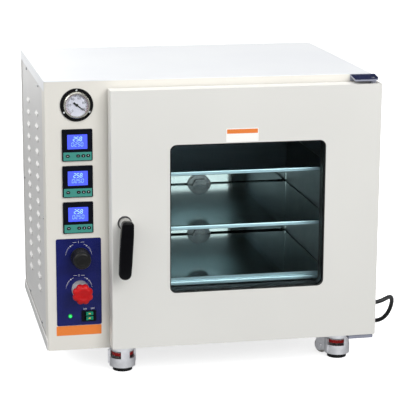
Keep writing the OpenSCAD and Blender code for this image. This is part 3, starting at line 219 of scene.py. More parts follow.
def ease(share):
    share = min(1.0, max(0.0, share))
    return share * share * (3 - 2 * share)


def changed(turned, stage):
    # how much of a change of turn or layer is done
    start, end = cordWay[stage]
    return ease((turned - start) / (end - start))


def coilPoint(turned):
    # place of the cord's middle after it has turned this many degrees round the coil
    outer, inner = cordWay["turnRadius"]
    step = outer - inner
    radius = outer - step * changed(turned, "moveIn") + step * changed(turned, "moveOut")
    radius += 0.25 * step * changed(turned, "toPlug")
    layers = changed(turned, "rise") + changed(turned, "riseAgain") + 0.5 * changed(turned, "toPlug")
    height = cordWay["floor"] + step / 2 + step * layers
    angle = radians(cordWay["startDeg"] + turned)
    x, y = cordWay["coilCentre"]
    return (x + radius * cos(angle), y + radius * sin(angle), height)


def cordRoute(stepDeg):
    turns = range(0, cordWay["turnedDeg"] + 1, stepDeg)
    points = cordWay["free"] + [coilPoint(turned) for turned in turns] + cordWay["plugEntry"]
    return [inCabinet(*point) for point in points]


route = cordRoute(cordWay["stepDeg"])
cordLine = bpy.data.curves.new("powerCord", "CURVE")
cordLine.dimensions = "3D"
cordLine.bevel_depth = 1.0  # times each point's own radius
cordLine.bevel_resolution = 5
cordLine.resolution_u = 6
cordLine.use_fill_caps = True
spline = cordLine.splines.new("BEZIER")
spline.bezier_points.add(len(route) - 1)
for point, place in zip(spline.bezier_points, route):
    point.co = place
    point.radius = cordWay["diameter"] / 2
    point.handle_left_type = point.handle_right_type = "AUTO"
powerCord = bpy.data.objects.new("powerCord", cordLine)
bpy.context.collection.objects.link(powerCord)
fineRoute = cordRoute(2)
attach(powerCord, "cabinet")
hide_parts("power_cord", "cord_coil")


# materials


def srgb(hexColour):
    channels = [int(hexColour[i:i + 2], 16) / 255 for i in (1, 3, 5)]
    return [c / 12.92 if c <= 0.04045 else ((c + 0.055) / 1.055) ** 2.4 for c in channels] + [1.0]


def addNode(tree, kind, settings=None, links=None):
    # lower-case settings belong to the node, the others are its sockets, by name or number
    node = tree.nodes.new("ShaderNode" + kind)
    for key, value in (settings or {}).items():
        if isinstance(key, str) and key[0].islower():
            setattr(node, key, value)
        else:
            node.inputs[key].default_value = value
    for key, source in (links or {}).items():
        tree.links.new(source, node.inputs[key])
    return node


def splitRays(tree, kind, others, these):
    # rays of one kind see another surface or light than all the others
    ray = addNode(tree, "LightPath").outputs[kind]
    return addNode(tree, "MixShader", {}, {0: ray, 1: others.outputs[0], 2: these.outputs[0]})


def startMaterial(name, colour, roughness, sockets=None):
    material = bpy.data.materials.new(name)
    material.use_nodes = True
    tree = material.node_tree
    shader = tree.nodes["Principled BSDF"]
    shader.inputs["Base Color"].default_value = srgb(colour)
    shader.inputs["Roughness"].default_value = roughness
    for key, value in (sockets or {}).items():
        shader.inputs[key].default_value = value
    place = addNode(tree, "TexCoord").outputs["Object"]
    return material, tree, shader, place


def addGrain(tree, shader, place, sizeMm, depthMm, stretch=(1, 1, 1), detail=3.0):
    # fine relief; grains of this size in millimetres, longer where stretch is below 1
    lie = addNode(tree, "Mapping", {"Scale": stretch}, {"Vector": place})
    noise = addNode(tree, "TexNoise", {"Scale": 1000 / sizeMm, "Detail": detail},
                    {"Vector": lie.outputs["Vector"]})
    bump = addNode(tree, "Bump", {"Strength": 1.0, "Distance": depthMm * mm},
                   {"Height": noise.outputs["Fac"]})
    tree.links.new(bump.outputs["Normal"], shader.inputs["Normal"])
    return noise.outputs["Fac"]


def addSpread(tree, shader, socket, source, low, high):
    # a socket that wanders between low and high with a pattern
    spread = addNode(tree, "MapRange", {"From Min": 0.3, "From Max": 0.7, "To Min": low, "To Max": high},
                     {"Value": source})
    tree.links.new(spread.outputs["Result"], shader.inputs[socket])


def addTint(tree, shader, place, sizeMm, *colours):
    # slow drift of the colour between two close tones
    drift = addNode(tree, "TexNoise", {"Scale": 1000 / sizeMm, "Detail": 2.0}, {"Vector": place})
    ramp = addNode(tree, "ValToRGB", {}, {"Fac": drift.outputs["Fac"]})
    for element, colour, position in zip(ramp.color_ramp.elements, colours, (0.35, 0.65)):
        element.position, element.color = position, srgb(colour)
    tree.links.new(ramp.outputs["Color"], shader.inputs["Base Color"])


def surface(name, colours, roughness, sockets, grain, spread, tintMm):
    # what solid finishes share: relief, a gloss that wanders with it, and a slow drift of colour
    material, tree, shader, place = startMaterial(name, colours[0], roughness, sockets)
    relief = addGrain(tree, shader, place, *grain)
    addSpread(tree, shader, "Roughness", relief, *spread)
    addTint(tree, shader, place, tintMm, *colours)
    return material


def powderCoat(name, colourA, colourB, roughness=0.4):
    # polyester powder baked on steel sheet: satin, with the faint orange peel of the flow-out
    return surface(name, (colourA, colourB), roughness, {"IOR": 1.5}, (2.6, 0.012),
                   (roughness - 0.04, roughness + 0.05), 260)


def stainlessSheet(name, colourA, colourB, roughness, lineMm, stretch):
    # rolled stainless steel: bright, with fine rolling lines that smear what it mirrors
    return surface(name, (colourA, colourB), roughness, {"Metallic": 1.0}, (lineMm, 0.0015, stretch, 2.0),
                   (roughness * 0.75, roughness * 1.3), 90)


def turnedSteel(name, colourA, colourB, roughness):
    # machined or plated steel: bright metal with a fine tooth from the tool
    return surface(name, (colourA, colourB), roughness, {"Metallic": 1.0}, (0.8, 0.006, (1, 1, 1), 1.0),
                   (roughness * 0.8, roughness * 1.25), 14)


def mouldedPlastic(name, colourA, colourB, roughness, grainMm=0.9, depthMm=0.01, mirror=0.22):
    # injection-moulded ABS or nylon: even colour, the tool's spark-eroded grain dulls the gloss
    return surface(name, (colourA, colourB), roughness, {"IOR": 1.46, "Specular IOR Level": mirror},
                   (grainMm, depthMm), (roughness * 0.85, roughness * 1.2), 20)


def rubber(name, colourA, colourB, roughness=0.55):
    # moulded elastomer or PVC: dull, a little dusty, with a soft broad sheen
    return surface(name, (colourA, colourB), roughness, {"IOR": 1.5, "Specular IOR Level": 0.3}, (0.7, 0.02),
                   (roughness - 0.08, roughness + 0.1), 12)


def swapBetween(material, source, axis, low, high, colour, roughness):
    # another colour and roughness where the place or the face's normal lies between low and high
    tree = material.node_tree
    shader = tree.nodes["Principled BSDF"]
    start = {"place": ("TexCoord", "Object"), "normal": ("NewGeometry", "True Normal")}[source]
    parts = addNode(tree, "SeparateXYZ", {}, {"Vector": addNode(tree, start[0]).outputs[start[1]]})
    above = addNode(tree, "Math", {"operation": "GREATER_THAN", 1: low}, {0: parts.outputs[axis]})
    below = addNode(tree, "Math", {"operation": "LESS_THAN", 1: high}, {0: parts.outputs[axis]})
    inside = addNode(tree, "Math", {"operation": "MULTIPLY"}, {0: above.outputs[0], 1: below.outputs[0]})
    for socket, kind, value, slots in (("Base Color", "RGBA", srgb(colour), (6, 7, 2)),
                                       ("Roughness", "FLOAT", roughness, (2, 3, 0))):
        before = shader.inputs[socket].links[0].from_socket
        mix = addNode(tree, "Mix", {"data_type": kind, slots[1]: value},
                      {0: inside.outputs[0], slots[0]: before})
        tree.links.new(mix.outputs[slots[2]], shader.inputs[socket])


def printedInk(name, colourA, colourB, glow=0.0):
    # screen-printed ink: thin, matt, slightly uneven where the mesh left it
    sockets = {"Emission Color": srgb(colourA), "Emission Strength": glow}
    material, tree, shader, place = startMaterial(name, colourA, 0.5, sockets)
    addGrain(tree, shader, place, 0.3, 0.004)
    addTint(tree, shader, place, 1.5, colourA, colourB)
    return material


def clearGlass(name, colour, bend=1.5):
    # clear, with the faint grey-green of its iron; a bloomed pane mirrors less, as if it bent light less
    sockets = {"IOR": bend, "Transmission Weight": 1.0}
    material, tree, shader, place = startMaterial(name, colour, 0.0, sockets)
    addGrain(tree, shader, place, 60, 0.01, (1, 1, 1), 0.0)
    through = addNode(tree, "BsdfTransparent", {"Color": srgb(colour)})
    mix = splitRays(tree, "Is Shadow Ray", shader, through)
    tree.links.new(mix.outputs[0], tree.nodes["Material Output"].inputs["Surface"])
    return material


def litLens(name, centre, radiusMm, glow):
    # moulded polycarbonate over a small lamp: bright in the middle, deep green at the rim
    material, tree, shader, place = startMaterial(name, "#0c8a3c", 0.25, {"Emission Color": srgb("#20e468")})
    far = addNode(tree, "VectorMath", {"operation": "DISTANCE", 1: centre}, {0: place})
    fade = addNode(tree, "MapRange", {"From Min": radiusMm[0] * mm, "From Max": radiusMm[1] * mm,
                                      "To Min": glow[0], "To Max": glow[1]}, {"Value": far.outputs["Value"]})
    tree.links.new(fade.outputs["Result"], shader.inputs["Emission Strength"])
    addGrain(tree, shader, place, 1.0, 0.01)
    return material


def byDistance(name, axis, edgesMm, colours, roughness, offset=(0, 0, 0), metals=()):
    # one moulded or assembled piece with bands of colour along an axis: "X", "Y", "Z" or "radius" round Y
    metallic = 1.0 if metals and all(metals) else 0.0
    material, tree, shader, place = startMaterial(
        name, colours[0], roughness, {"Metallic": metallic, "Specular IOR Level": 0.25})
    shift = addNode(tree, "Mapping", {"Location": [-value for value in offset]}, {"Vector": place})
    parts = addNode(tree, "SeparateXYZ", {}, {"Vector": shift.outputs["Vector"]})
    if axis == "radius":
        flat = addNode(tree, "CombineXYZ", {}, {"X": parts.outputs["X"], "Z": parts.outputs["Z"]})
        distance = addNode(tree, "VectorMath", {"operation": "LENGTH"},
                           {0: flat.outputs["Vector"]}).outputs["Value"]
    else:
        distance = parts.outputs[axis]

    def addBands(values, kind, sockets, target):
        first, second, result = sockets
        before = None
        for edge, value in zip(edgesMm, values[1:]):
            beyond = addNode(tree, "Math", {"operation": "GREATER_THAN", 1: edge * mm}, {0: distance})
            mix = addNode(tree, "Mix", {"data_type": kind, first: values[0], second: value},
                          {0: beyond.outputs["Value"]})
            if before:
                tree.links.new(before, mix.inputs[first])
            before = mix.outputs[result]
        tree.links.new(before, shader.inputs[target])

    addBands([srgb(colour) for colour in colours], "RGBA", (6, 7, 2), "Base Color")
    if metals and not all(metals):
        addBands([float(metal) for metal in metals], "FLOAT", (2, 3, 0), "Metallic")
    grain = addGrain(tree, shader, place, 0.9, 0.01)
    addSpread(tree, shader, "Roughness", grain, roughness * 0.85, roughness * 1.2)
    return material


cabinetPaint = powderCoat("cabinetPowderCoat", "#ebe8e0", "#e8e5dd")
# the top cover is painted lighter and bluer than the front: painted light from above
coverPaintWithPaintedLight = powderCoat("coverPowderCoat", "#f2f4f6", "#eff1f4")
doorPaint = powderCoat("doorPowderCoat", "#ebeae5", "#e8e7e2")
# the sides, rear and base are painted greyer than the front: painted shade on faces turned from the light
sidePaintWithPaintedShade = powderCoat("sidePowderCoat", "#dedddb", "#dad9d7")
zincPlate = turnedSteel("zincPlatedScrew", "#a9abad", "#8f9193", 0.35)
chamberSteel = stainlessSheet("rolledStainless", "#a0adb2", "#aab7bb", 0.52, 1.2, (0.06, 0.06, 1))
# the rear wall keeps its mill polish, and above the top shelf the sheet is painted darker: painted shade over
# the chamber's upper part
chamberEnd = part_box("vacuum_chamber")[1]
swapBetween(chamberSteel, "place", "Y", chamberEnd.y - 8 * mm, 1, "#dfe7e5", 0.04)
swapBetween(chamberSteel, "place", "Z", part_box("shelf_upper")[1].z, chamberEnd.z, "#7f8b93", 0.5)
silicone = rubber("mouldedSilicone", "#a23a2a", "#8f3124")
portSteel = turnedSteel("turnedPortSteel", "#6d7274", "#84898a", 0.3)
mineralWool = rubber("mineralWool", "#d8cfa8", "#c4ba90", 0.9)
lensGlass = clearGlass("pressedGlass", "#f8fafa", 1.25)
windowGlassTint = clearGlass("temperedGlass", "#f2f8f7", 1.12)
hingeEnamel = mouldedPlastic("hingeEnamel", "#1c2140", "#232849", 0.22, 2.2, 0.008)
swapBetween(hingeEnamel, "normal", "Z", -0.6, 0.6, "#9c9fae", 0.3)  # the enamel stops at the sheared edges
brightSteel = turnedSteel("brightTurnedSteel", "#d4d6d8", "#c3c6c9", 0.18)
gaugeBlack = byDistance("gaugeBezelAndFlange", "radius", [28.0], ["#dcdad0", "#050506"], 0.22,
                        middle("gauge_case"), (1, 0))
dialCard = printedInk("dialCard", "#d3d1dc", "#cbc9d6")
pointerBlack = printedInk("pointerEnamel", "#08080a", "#0e0e10")
plateBlue = mouldedPlastic("enamelledBluePlate", "#131a59", "#171e63", 0.26, 1.2, 0.006)
caseBlack = mouldedPlastic("controllerCase", "#0b0d16", "#10131d", 0.3, mirror=0.08)
screenBlue = printedInk("backlitScreen", "#3f50ee", "#4c5ff4", 0.55)
keypadTeal = byDistance("filmKeypad", "Y", [cabinetCorner.y / mm - 5.15], ["#08090c", "#439488"], 0.45)
lampGreen = litLens("litPilotLens", frontOf("pilot_lamp"), (1.4, 4.6), (1.5, 0.1))
rockerGreen = mouldedPlastic("rockerGreen", "#128a6a", "#189674", 0.25, 0.9, 0.006)
neckBlack = mouldedPlastic("handleNeckNylon", "#26262a", "#2e2e32", 0.3, 1.6, 0.02, 0.4)
knobBlack = mouldedPlastic("knobBakelite", "#0d0d0d", "#141413", 0.3, 1.4, 0.02, 0.28)
knobRed = mouldedPlastic("knobRedResin", "#cb191d", "#b51518", 0.24, 1.6, 0.015)
blastedSteel = turnedSteel("beadBlastedSteel", "#f4f2ec", "#dedcd6", 0.6)
valveSteel = turnedSteel("machinedStainless", "#d3d3d0", "#bcbcb9", 0.36)
casterAlloy = turnedSteel("dieCastAlloy", "#f6f6f8", "#e6e6e9", 0.4)
wheelNylon = mouldedPlastic("wheelNylon", "#d9d8d1", "#cfcec6", 0.45)
footStack = byDistance("padThumbwheelStud", "Z", [9.5, 34.5, 43.4],
                       ["#0b0b0d", "#b4b6b8", "#b71f1d", "#b4b6b8"], 0.4, (0, 0, 0), (0, 1, 0, 1))
cordPvc = rubber("blackCordPvc", "#17181a", "#1e1f22", 0.42)
gripBlack = mouldedPlastic("gripPolyamide", "#050508", "#08080c", 0.2, 1.0, 0.006, 0.14)
shelfAlloy = stainlessSheet("polishedShelfAlloy", "#c6d6db", "#d0dee2", 0.07, 0.9, (1, 0.05, 1))
swapBetween(shelfAlloy, "normal", "Z", -2, -0.7, "#56656a", 0.35)  # undersides are rougher, as rolled, and painted darker: painted shade
swapBetween(shelfAlloy, "normal", "Y", -2, -0.8, "#b4ced8", 0.45)  # front edges are linished across
linerPaint = powderCoat("linerPowderCoat", "#d5d5d1", "#cfcfcb")

# a name that ends in _ stands for all the nodes that start with it
finishes = [
    (cabinetPaint, "front_panel"), (coverPaintWithPaintedLight, "top_cover"), (doorPaint, "door_shell"),
    (sidePaintWithPaintedShade, "left_side_panel right_side_panel rear_panel base_pan"), (linerPaint, "door_liner"),
    (zincPlate, "cabinet_screws latch_striker"), (chamberSteel, "vacuum_chamber shelf_rails"),
    (silicone, "door_gasket"), (portSteel, "shelf_ports"), (mineralWool, "insulation"),
    (lensGlass, "chamber_lamp gauge_lens"), (windowGlassTint, "window_glass"),
    (hingeEnamel, "hinge_brackets"), (brightSteel, "hinge_pins"), (gaugeBlack, "gauge_case"),
    (dialCard, "gauge_dial"), (pointerBlack, "gauge_pointer"), (plateBlue, "control_plate"),
    (caseBlack, "controller_cases switch_frame"), (screenBlue, "controller_screens"),
    (keypadTeal, "controller_keys"), (lampGreen, "pilot_lamp"),
    (rockerGreen, "power_rocker light_rocker"), (blastedSteel, "vacuum_valve vent_valve"),
    (knobBlack, "vacuum_knob"), (knobRed, "vent_knob"), (neckBlack, "handle_bush"),
    (valveSteel, "vacuum_pipes rear_port latch_spindle"), (gripBlack, "door_handle"),
    (cordPvc, "strain_relief power_plug"), (shelfAlloy, "shelf_upper shelf_middle shelf_lower"),
    (casterAlloy, "caster_plates caster_yoke_"), (wheelNylon, "caster_wheel_"),
    (footStack, "levelling_foot_"),
]
for material, names in finishes:
    for node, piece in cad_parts.items():
        if any(node == name or name.endswith("_") and node.startswith(name) for name in names.split()):
            piece.material_slots[0].material = material
powerCord.data.materials.append(cordPvc)
print("materials done:", len(finishes))


# printed marks: drawn flat and then stood on a front face

printed = {
    "thick": 0.12, "clear": 0.03,  # ink, and the gap to the face it lies on
    "word": 0.05,  # half the thickness of a word
    "typeSize": 1.4,  # size of the type for capitals of height 1
}


def thicken(piece, depthMm):
    addModifier(piece, "SOLIDIFY", thickness=depthMm * mm, offset=1.0)
    return piece


def addTick(x, y, wide, tall, turnDeg=0.0, thick=printed["thick"]):
    bpy.ops.mesh.primitive_cube_add(size=mm, location=(x * mm, y * mm, thick / 2 * mm),
                                    rotation=(0, 0, radians(turnDeg)))
    tick = bpy.context.object
    tick.scale = (wide, tall, thick)
    bakePlace()
    return tick


def addArrow(x, y, size, turnDeg):
    # a triangle that points up before it is turned
    bpy.ops.mesh.primitive_circle_add(vertices=3, radius=size * mm, fill_type="NGON",
                                      location=(x * mm, y * mm, 0), rotation=(0, 0, radians(turnDeg)))
    return thicken(bpy.context.object, printed["thick"])


def addArcLine(x, y, radius, wide, startDeg, clockwiseDeg):
    # a thin band along a circle: the circle's other points are deleted and its edge is widened inwards
    sides = 240  # fine enough that no corner shows
    bpy.ops.mesh.primitive_circle_add(vertices=sides, radius=radius * mm)
    line = bpy.context.object
    mode("EDIT")
    middleDeg, spare = startDeg - clockwiseDeg / 2, 180 / sides

    def outside(point):
        deg = degrees(atan2(point.co.y, point.co.x)) - middleDeg
        return abs((deg + 180) % 360 - 180) > clockwiseDeg / 2 + spare

    pick(line, "verts", outside)
    bpy.ops.mesh.delete(type="VERT")
    selectAll()
    bpy.ops.mesh.extrude_region_move()
    narrow = (radius - wide) / radius
    resize((narrow, narrow, 1))
    mode("OBJECT")
    line.location = (x * mm, y * mm, 0)
    return thicken(line, printed["thick"])


def addWord(word, tall, x, y, turnDeg=0.0):
    bpy.ops.object.text_add(location=(x * mm, y * mm, 0), rotation=(0, 0, radians(turnDeg)))
    letters = bpy.context.object.data
    letters.body = word
    letters.size = tall * printed["typeSize"] * mm
    letters.align_x = letters.align_y = "CENTER"
    letters.resolution_u = 3
    letters.extrude = printed["word"] * mm
    bpy.ops.object.convert(target="MESH")
    return bpy.context.object


def aroundCircle(radius, deg):
    return radius * cos(radians(deg)), radius * sin(radians(deg))


def standPrint(parts, name, origin, body, material):
    # printed marks lie just clear of the face they are on
    piece = faceFront(joinAll(parts), origin - Vector((0, printed["clear"], 0)) * mm)
    return settle(piece, name, body, material)


# gauge: card with graduations, numbers and the flange screws

card = {
    "firstDeg": 233, "sweepDeg": 270,  # zero stands at the first
    "steps": 50, "longEvery": 5, "tickRadius": 20.6,
    "longTick": (3.2, 1.0), "shortTick": (2.0, 0.5), "redTick": (2.4, 1.0),  # length and width
    "ringIn": 1.4, "ringWide": 0.3,
    "numberRadius": 15.4, "numberTall": 5.2,
    "redRadius": 23.0, "redSteps": 30,
    "screwRadius": 31.3, "screwDeg": (90, 210, 330), "screwHead": 2.3, "screwFront": -3.0,
    "slot": (0.5, 0.5, 1.45, 25),  # width, depth, height, turn from the screw's own angle
}


def gaugeAngle(share):
    return card["firstDeg"] - card["sweepDeg"] * share


cardFront = frontOf("gauge_dial")
black, red = [], []
for step in range(card["steps"] + 1):
    deg = gaugeAngle(step / card["steps"])
    major = step % card["longEvery"] == 0
    x, y = aroundCircle(card["tickRadius"], deg)
    black.append(addTick(x, y, *card["longTick" if major else "shortTick"], deg))
    if step % (2 * card["longEvery"]) == 0:
        x, y = aroundCircle(card["numberRadius"], deg)
        black.append(addWord(str(2 * step), card["numberTall"], x, y))
black.append(addArcLine(0, 0, card["tickRadius"] - card["ringIn"], card["ringWide"],
                        card["firstDeg"], card["sweepDeg"]))
standPrint(black, "gaugeGraduations", cardFront, "cabinet", pointerBlack)
for step in range(card["redSteps"] + 1):
    deg = gaugeAngle(step / card["redSteps"])
    x, y = aroundCircle(card["redRadius"], deg)
    red.append(addTick(x, y, *card["redTick"], deg))
inkRed = printedInk("redInk", "#a8203a", "#9c1c34")
standPrint(red, "gaugeRedGraduations", cardFront, "cabinet", inkRed)


# pointer with a broad counterweight tail, at the angle of the part's own one
pointer = {
    "tail": 9, "tip": 20.5, "wideTail": 4.4, "wideTip": 0.9, "thick": 0.5,
    "hub": 3.2, "restDeg": -37,
    "behind": 1.2,  # its back behind the front of the part's own pointer
}
reach = pointer["tail"] + pointer["tip"]
blade = addTick((pointer["tip"] - pointer["tail"]) / 2, 0, reach, pointer["wideTail"], 0, pointer["thick"])
mode("EDIT")
pick(blade, "verts", lambda point: point.co.x > (pointer["tip"] - 1) * mm)
resize((1, pointer["wideTip"] / pointer["wideTail"], 1))
mode("OBJECT")
hub = addTurned([(0, pointer["hub"]), (0.7, pointer["hub"]), (1.1, pointer["hub"] - 0.6)], 32)
blade = joinAll([blade, hub])
blade.rotation_euler = (0, 0, radians(pointer["restDeg"]))
bakePlace()
pointerPlace = atDepth(cardFront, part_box("gauge_pointer")[0].y + pointer["behind"] * mm)
settle(faceFront(blade, pointerPlace), "gaugePointer", "pointer", pointerBlack)
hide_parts("gauge_pointer")

flangeScrews = []
gaugeMiddle = middle("gauge_case")
for deg in card["screwDeg"]:
    x, z = aroundCircle(card["screwRadius"], deg)
    head = card["screwHead"]
    screw = addTurned([(0, head), (0.9, head), (1.5, head * 0.72), (1.75, head * 0.35)], 24)
    wide, deep, up, turnDeg = card["slot"]
    slotCut = addTick(0, 0, wide, head * 1.7, deg + turnDeg, deep)
    slotCut.location.z += up * mm
    addModifier(screw, "BOOLEAN", object=slotCut, operation="DIFFERENCE", solver="EXACT")
    bpy.data.objects.remove(slotCut, do_unlink=True)
    origin = atDepth(gaugeMiddle + Vector((x, 0, z)) * mm, inCabinet(0, card["screwFront"], 0).y)
    flangeScrews.append(faceFront(screw, origin))
settle(joinAll(flangeScrews), "gaugeFlangeScrews", "cabinet", brightSteel)
print("gauge done")


# controllers: seven-segment figures and key marks

display = {
    "upper": [("2", -6.3, 6.2), ("5", 0.5, 6.2), ("8", 7.3, 6.2)],
    "lower": [("0", -10.0, -5.6), ("2", -3.3, -5.6), ("5", 3.4, -5.6), ("0", 10.1, -5.6)],
    "tall": 8.6, "wide": 4.4, "stroke": 1.3, "thick": 0.1,
    "lowerShare": 0.95,  # height of the lower figures, as a share of the upper ones
    "slantDeg": -6,
    "pitch": 79.5,  # from one controller to the next
    "keys": (-21, 1.5, 12.5, 23),
    "keyRise": -30.5,  # middle of the keys above the middle of the screen
    "bar": (3.6, 0.8), "dash": (3.0, 0.5), "arrow": 1.5,
    "gap": 0.35,  # between the ends of two segments
    "hexagon": 0.866,  # width of a hexagon of height 1
}
segmentsOf = {"0": "abcdef", "2": "abdeg", "5": "acdfg", "8": "abcdefg"}


def addSegment(x, y, long, wide, upright):
    bpy.ops.mesh.primitive_circle_add(vertices=6, radius=long / 2 * mm, fill_type="NGON",
                                      location=(x * mm, y * mm, 0),
                                      rotation=(0, 0, 0 if upright else pi / 2))
    segment = bpy.context.object
    segment.scale = (wide / (long * display["hexagon"]), 1, 1)
    return thicken(segment, display["thick"])


def addFigure(symbol, x, y, tall, wide, stroke):
    half, side = tall / 4, wide / 2
    spots = {"a": (0, tall / 2, False), "b": (side, half, True), "c": (side, -half, True),
             "d": (0, -tall / 2, False), "e": (-side, -half, True), "f": (-side, half, True),
             "g": (0, 0, False)}
    parts = []
    for letter in segmentsOf[symbol]:
        right, up, upright = spots[letter]
        lean = tan(radians(-display["slantDeg"])) * up
        long = (tall / 2 if upright else wide) - display["gap"]
        parts.append(addSegment(x + right + lean, y + up, long, stroke, upright))
    return joinAll(parts)


displayInk = printedInk("liquidCrystalFigures", "#b4ecf4", "#a8e4f0", 0.5)
dimInk = printedInk("dimFigures", "#93c4f2", "#8cbcee", 0.35)
screenFront = frontOf("controller_screens")
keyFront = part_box("controller_keys")[0].y
keys, keyRise = display["keys"], display["keyRise"]
whiteInk = printedInk("whiteInk", "#e6e8ee", "#dcdfe6")
for row in range(3):
    centre = screenFront + Vector((0, 0, (row - 1) * display["pitch"])) * mm
    for name, ink, share in (("upper", displayInk, 1), ("lower", dimInk, display["lowerShare"])):
        tall = display["tall"] * share
        figures = [addFigure(symbol, x, y, tall, display["wide"], display["stroke"])
                   for symbol, x, y in display[name]]
        standPrint(figures, name + "Figures" + str(row + 1), centre, "cabinet", ink)
    size = display["arrow"]
    marks = [addTick(keys[0], keyRise, *display["bar"]), addTick(keys[1], keyRise, *display["dash"]),
             addArrow(keys[2], keyRise - size / 5, size, 180), addArrow(keys[3], keyRise + size / 5, size, 0)]
    keyTop = atDepth(centre, keyFront)
    standPrint(marks, "keyMarks" + str(row + 1), keyTop, "cabinet", whiteInk)
print("controllers done")


# control plate: turn arrows, tick scales and plain numbers

plate = {
    "radius": 28.5,
    "scaleDeg": (7, 42),  # the tick scale on the right; the left one mirrors it
    "ticks": 9, "tickShort": 1.0, "tickGrows": 0.24, "tickWide": 0.6,
    "arrowDeg": 51, "arrow": 2.1,
    "lineDeg": (56, 66),
    "titleUp": 30.6, "titleTall": 4.2, "dash": (8.5, 8),  # a dash beside the title: place and length
    "line": 0.55,
    "switchWord": (8.5, 15.4), "wordTall": 3.6,
}
plateFront = frontOf("control_plate")
for node, title in (("vacuum_knob", "1"), ("vent_knob", "2")):
    # arrows to both sides of a knob, a scale of ticks under each and a plain number above
    parts = []
    for side in (1, -1):
        first, last = plate["scaleDeg"]
        for step in range(plate["ticks"]):
            deg = first + (last - first) * step / (plate["ticks"] - 1)
            x, y = aroundCircle(plate["radius"], deg)
            long = plate["tickShort"] + plate["tickGrows"] * step
            parts.append(addTick(side * x, y, long, plate["tickWide"], side * deg))
        x, y = aroundCircle(plate["radius"], plate["arrowDeg"])
        parts.append(addArrow(side * x, y, plate["arrow"], side * (plate["arrowDeg"] - 180)))
        first, last = plate["lineDeg"]
        start = last if side == 1 else 180 - first
        parts.append(addArcLine(0, 0, plate["radius"], plate["line"], start, last - first))
        right, long = plate["dash"]
        parts.append(addTick(side * right, plate["titleUp"], long, plate["line"]))
    parts.append(addWord(title, plate["titleTall"], 0, plate["titleUp"]))
    origin = Vector((plateFront.x, plateFront.y, middle(node).z))
    standPrint(parts, node.replace("_knob", "") + "Marks", origin, "cabinet", whiteInk)
right, up = plate["switchWord"]
words = [addWord("ON", plate["wordTall"], -right, up), addWord("OFF", plate["wordTall"], right, up)]
standPrint(words, "switchWords", atDepth(middle("switch_frame"), plateFront.y), "cabinet",
           whiteInk)
print("plate done")


# rocker lenses, blank strip on the panel and blank label on the door

rockerLens = {"long": 4.2, "tall": 2.4, "thick": 1.6, "bevel": 0.5, "proud": 0.25}
amber = printedInk("amberLens", "#e6b860", "#dca850", 0.15)
for node, body, name in (("power_rocker", "power_switch", "powerLens"),
                         ("light_rocker", "light_switch", "lightLens")):
    lens = addTick(0, 0, rockerLens["long"], rockerLens["tall"], 0, rockerLens["thick"])
    addBevel(lens, rockerLens["bevel"], 3)
    lensPlace = atDepth(middle(node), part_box("switch_frame")[0].y - rockerLens["proud"] * mm)
    settle(faceFront(lens, lensPlace), name, body, amber)

# the middles are in the cabinet's frame, just clear of the panel and of the door
blankStrip = {"wide": 99, "tall": 21.5, "middle": (68, -0.03, 44.3), "corner": 1.6, "thick": 0.25}
blankLabel = {"wide": 71, "tall": 29, "middle": (420.5, -46.03, 476.5), "corner": 1.4, "thick": 0.25}
labelBand = {"margin": 1.5, "tall": 9.5, "thick": 0.1, "corner": 0.8}


def addSheet(wide, tall, thick, corner):
    # with round corners, drawn flat
    sheet = addTick(0, 0, wide, tall, 0, thick)
    mode("EDIT")
    pick(sheet, "edges", lambda edge: abs(edge.verts[0].co.z - edge.verts[1].co.z) > thick / 2 * mm)
    bpy.ops.mesh.bevel(offset=corner * mm, segments=5)
    mode("OBJECT")
    return sheet


def addFilm(film, name, body, ink):
    piece = addSheet(film["wide"], film["tall"], film["thick"], film["corner"])
    return settle(faceFront(piece, inCabinet(*film["middle"])), name, body, ink)


orangeFilm = printedInk("orangeVinylFilm", "#f58a38", "#f08030")
# the blank label glows a little though it is no lamp: painted light that keeps it white
whiteFilmPaintedGlow = printedInk("whiteVinylFilm", "#fbfaf6", "#f7f6f1", 0.12)
addFilm(blankStrip, "blankOrangeStrip", "cabinet", orangeFilm)
addFilm(blankLabel, "blankLabel", "door", whiteFilmPaintedGlow)
x, y, z = blankLabel["middle"]
labelBand["wide"] = blankLabel["wide"] - 2 * labelBand["margin"]
bandUp = (blankLabel["tall"] - labelBand["tall"]) / 2 - labelBand["margin"]
labelBand["middle"] = (x, y - blankLabel["thick"], z + bandUp)
addFilm(labelBand, "labelBand", "door", orangeFilm)
print("labels done")


# knobs

vacuumKnob = {
    # distance in front of the panel and radius; flutes and lobes lie between two distances
    "rings": [(-24, 5), (11.6, 5), (11.6, 20.2), (12.6, 21.4), (17.5, 21.7), (18.6, 20.9), (20, 20.6),
              (42.5, 19.4), (45.6, 18.5), (47.6, 16.9), (48.6, 14.5), (49, 11.5), (48.4, 9.2), (48.3, 4)],
    "sides": 144, "repeat": 24, "from": 19.5, "to": 44, "fluteIn": 0.955,
}
ventKnob = {
    "rings": [(-24, 5), (34.8, 5), (34.8, 17.4), (36.2, 19.6), (38.5, 20.8), (44, 21.2), (49, 20.7),
              (52.2, 19.0), (53.9, 16.4), (54.6, 13), (54.4, 10.5), (53.9, 9.2), (53.8, 4)],
    "sides": 144, "repeat": 8, "from": 34, "to": 53, "tipShare": 1.075, "valleyShare": 0.935,
}


def addKnob(knob, pinches, node):
    # turned, stood on its axis, and the same points of every flute or lobe moved in or out
    sides, repeat = knob["sides"], knob["repeat"]
    piece = addTurned(knob["rings"], sides)
    mode("EDIT")
    for phases, grow in pinches:

        def chosen(point):
            turn = degrees(atan2(point.co.y, point.co.x)) / 360 * sides
            inReach = knob["from"] * mm < point.co.z < knob["to"] * mm
            return inReach and round(turn) % (sides // repeat) in phases

        pick(piece, "verts", chosen)
        resize((grow, grow, 1))
    mode("OBJECT")
    return faceFront(piece, atDepth(middle(node), cabinetCorner.y))


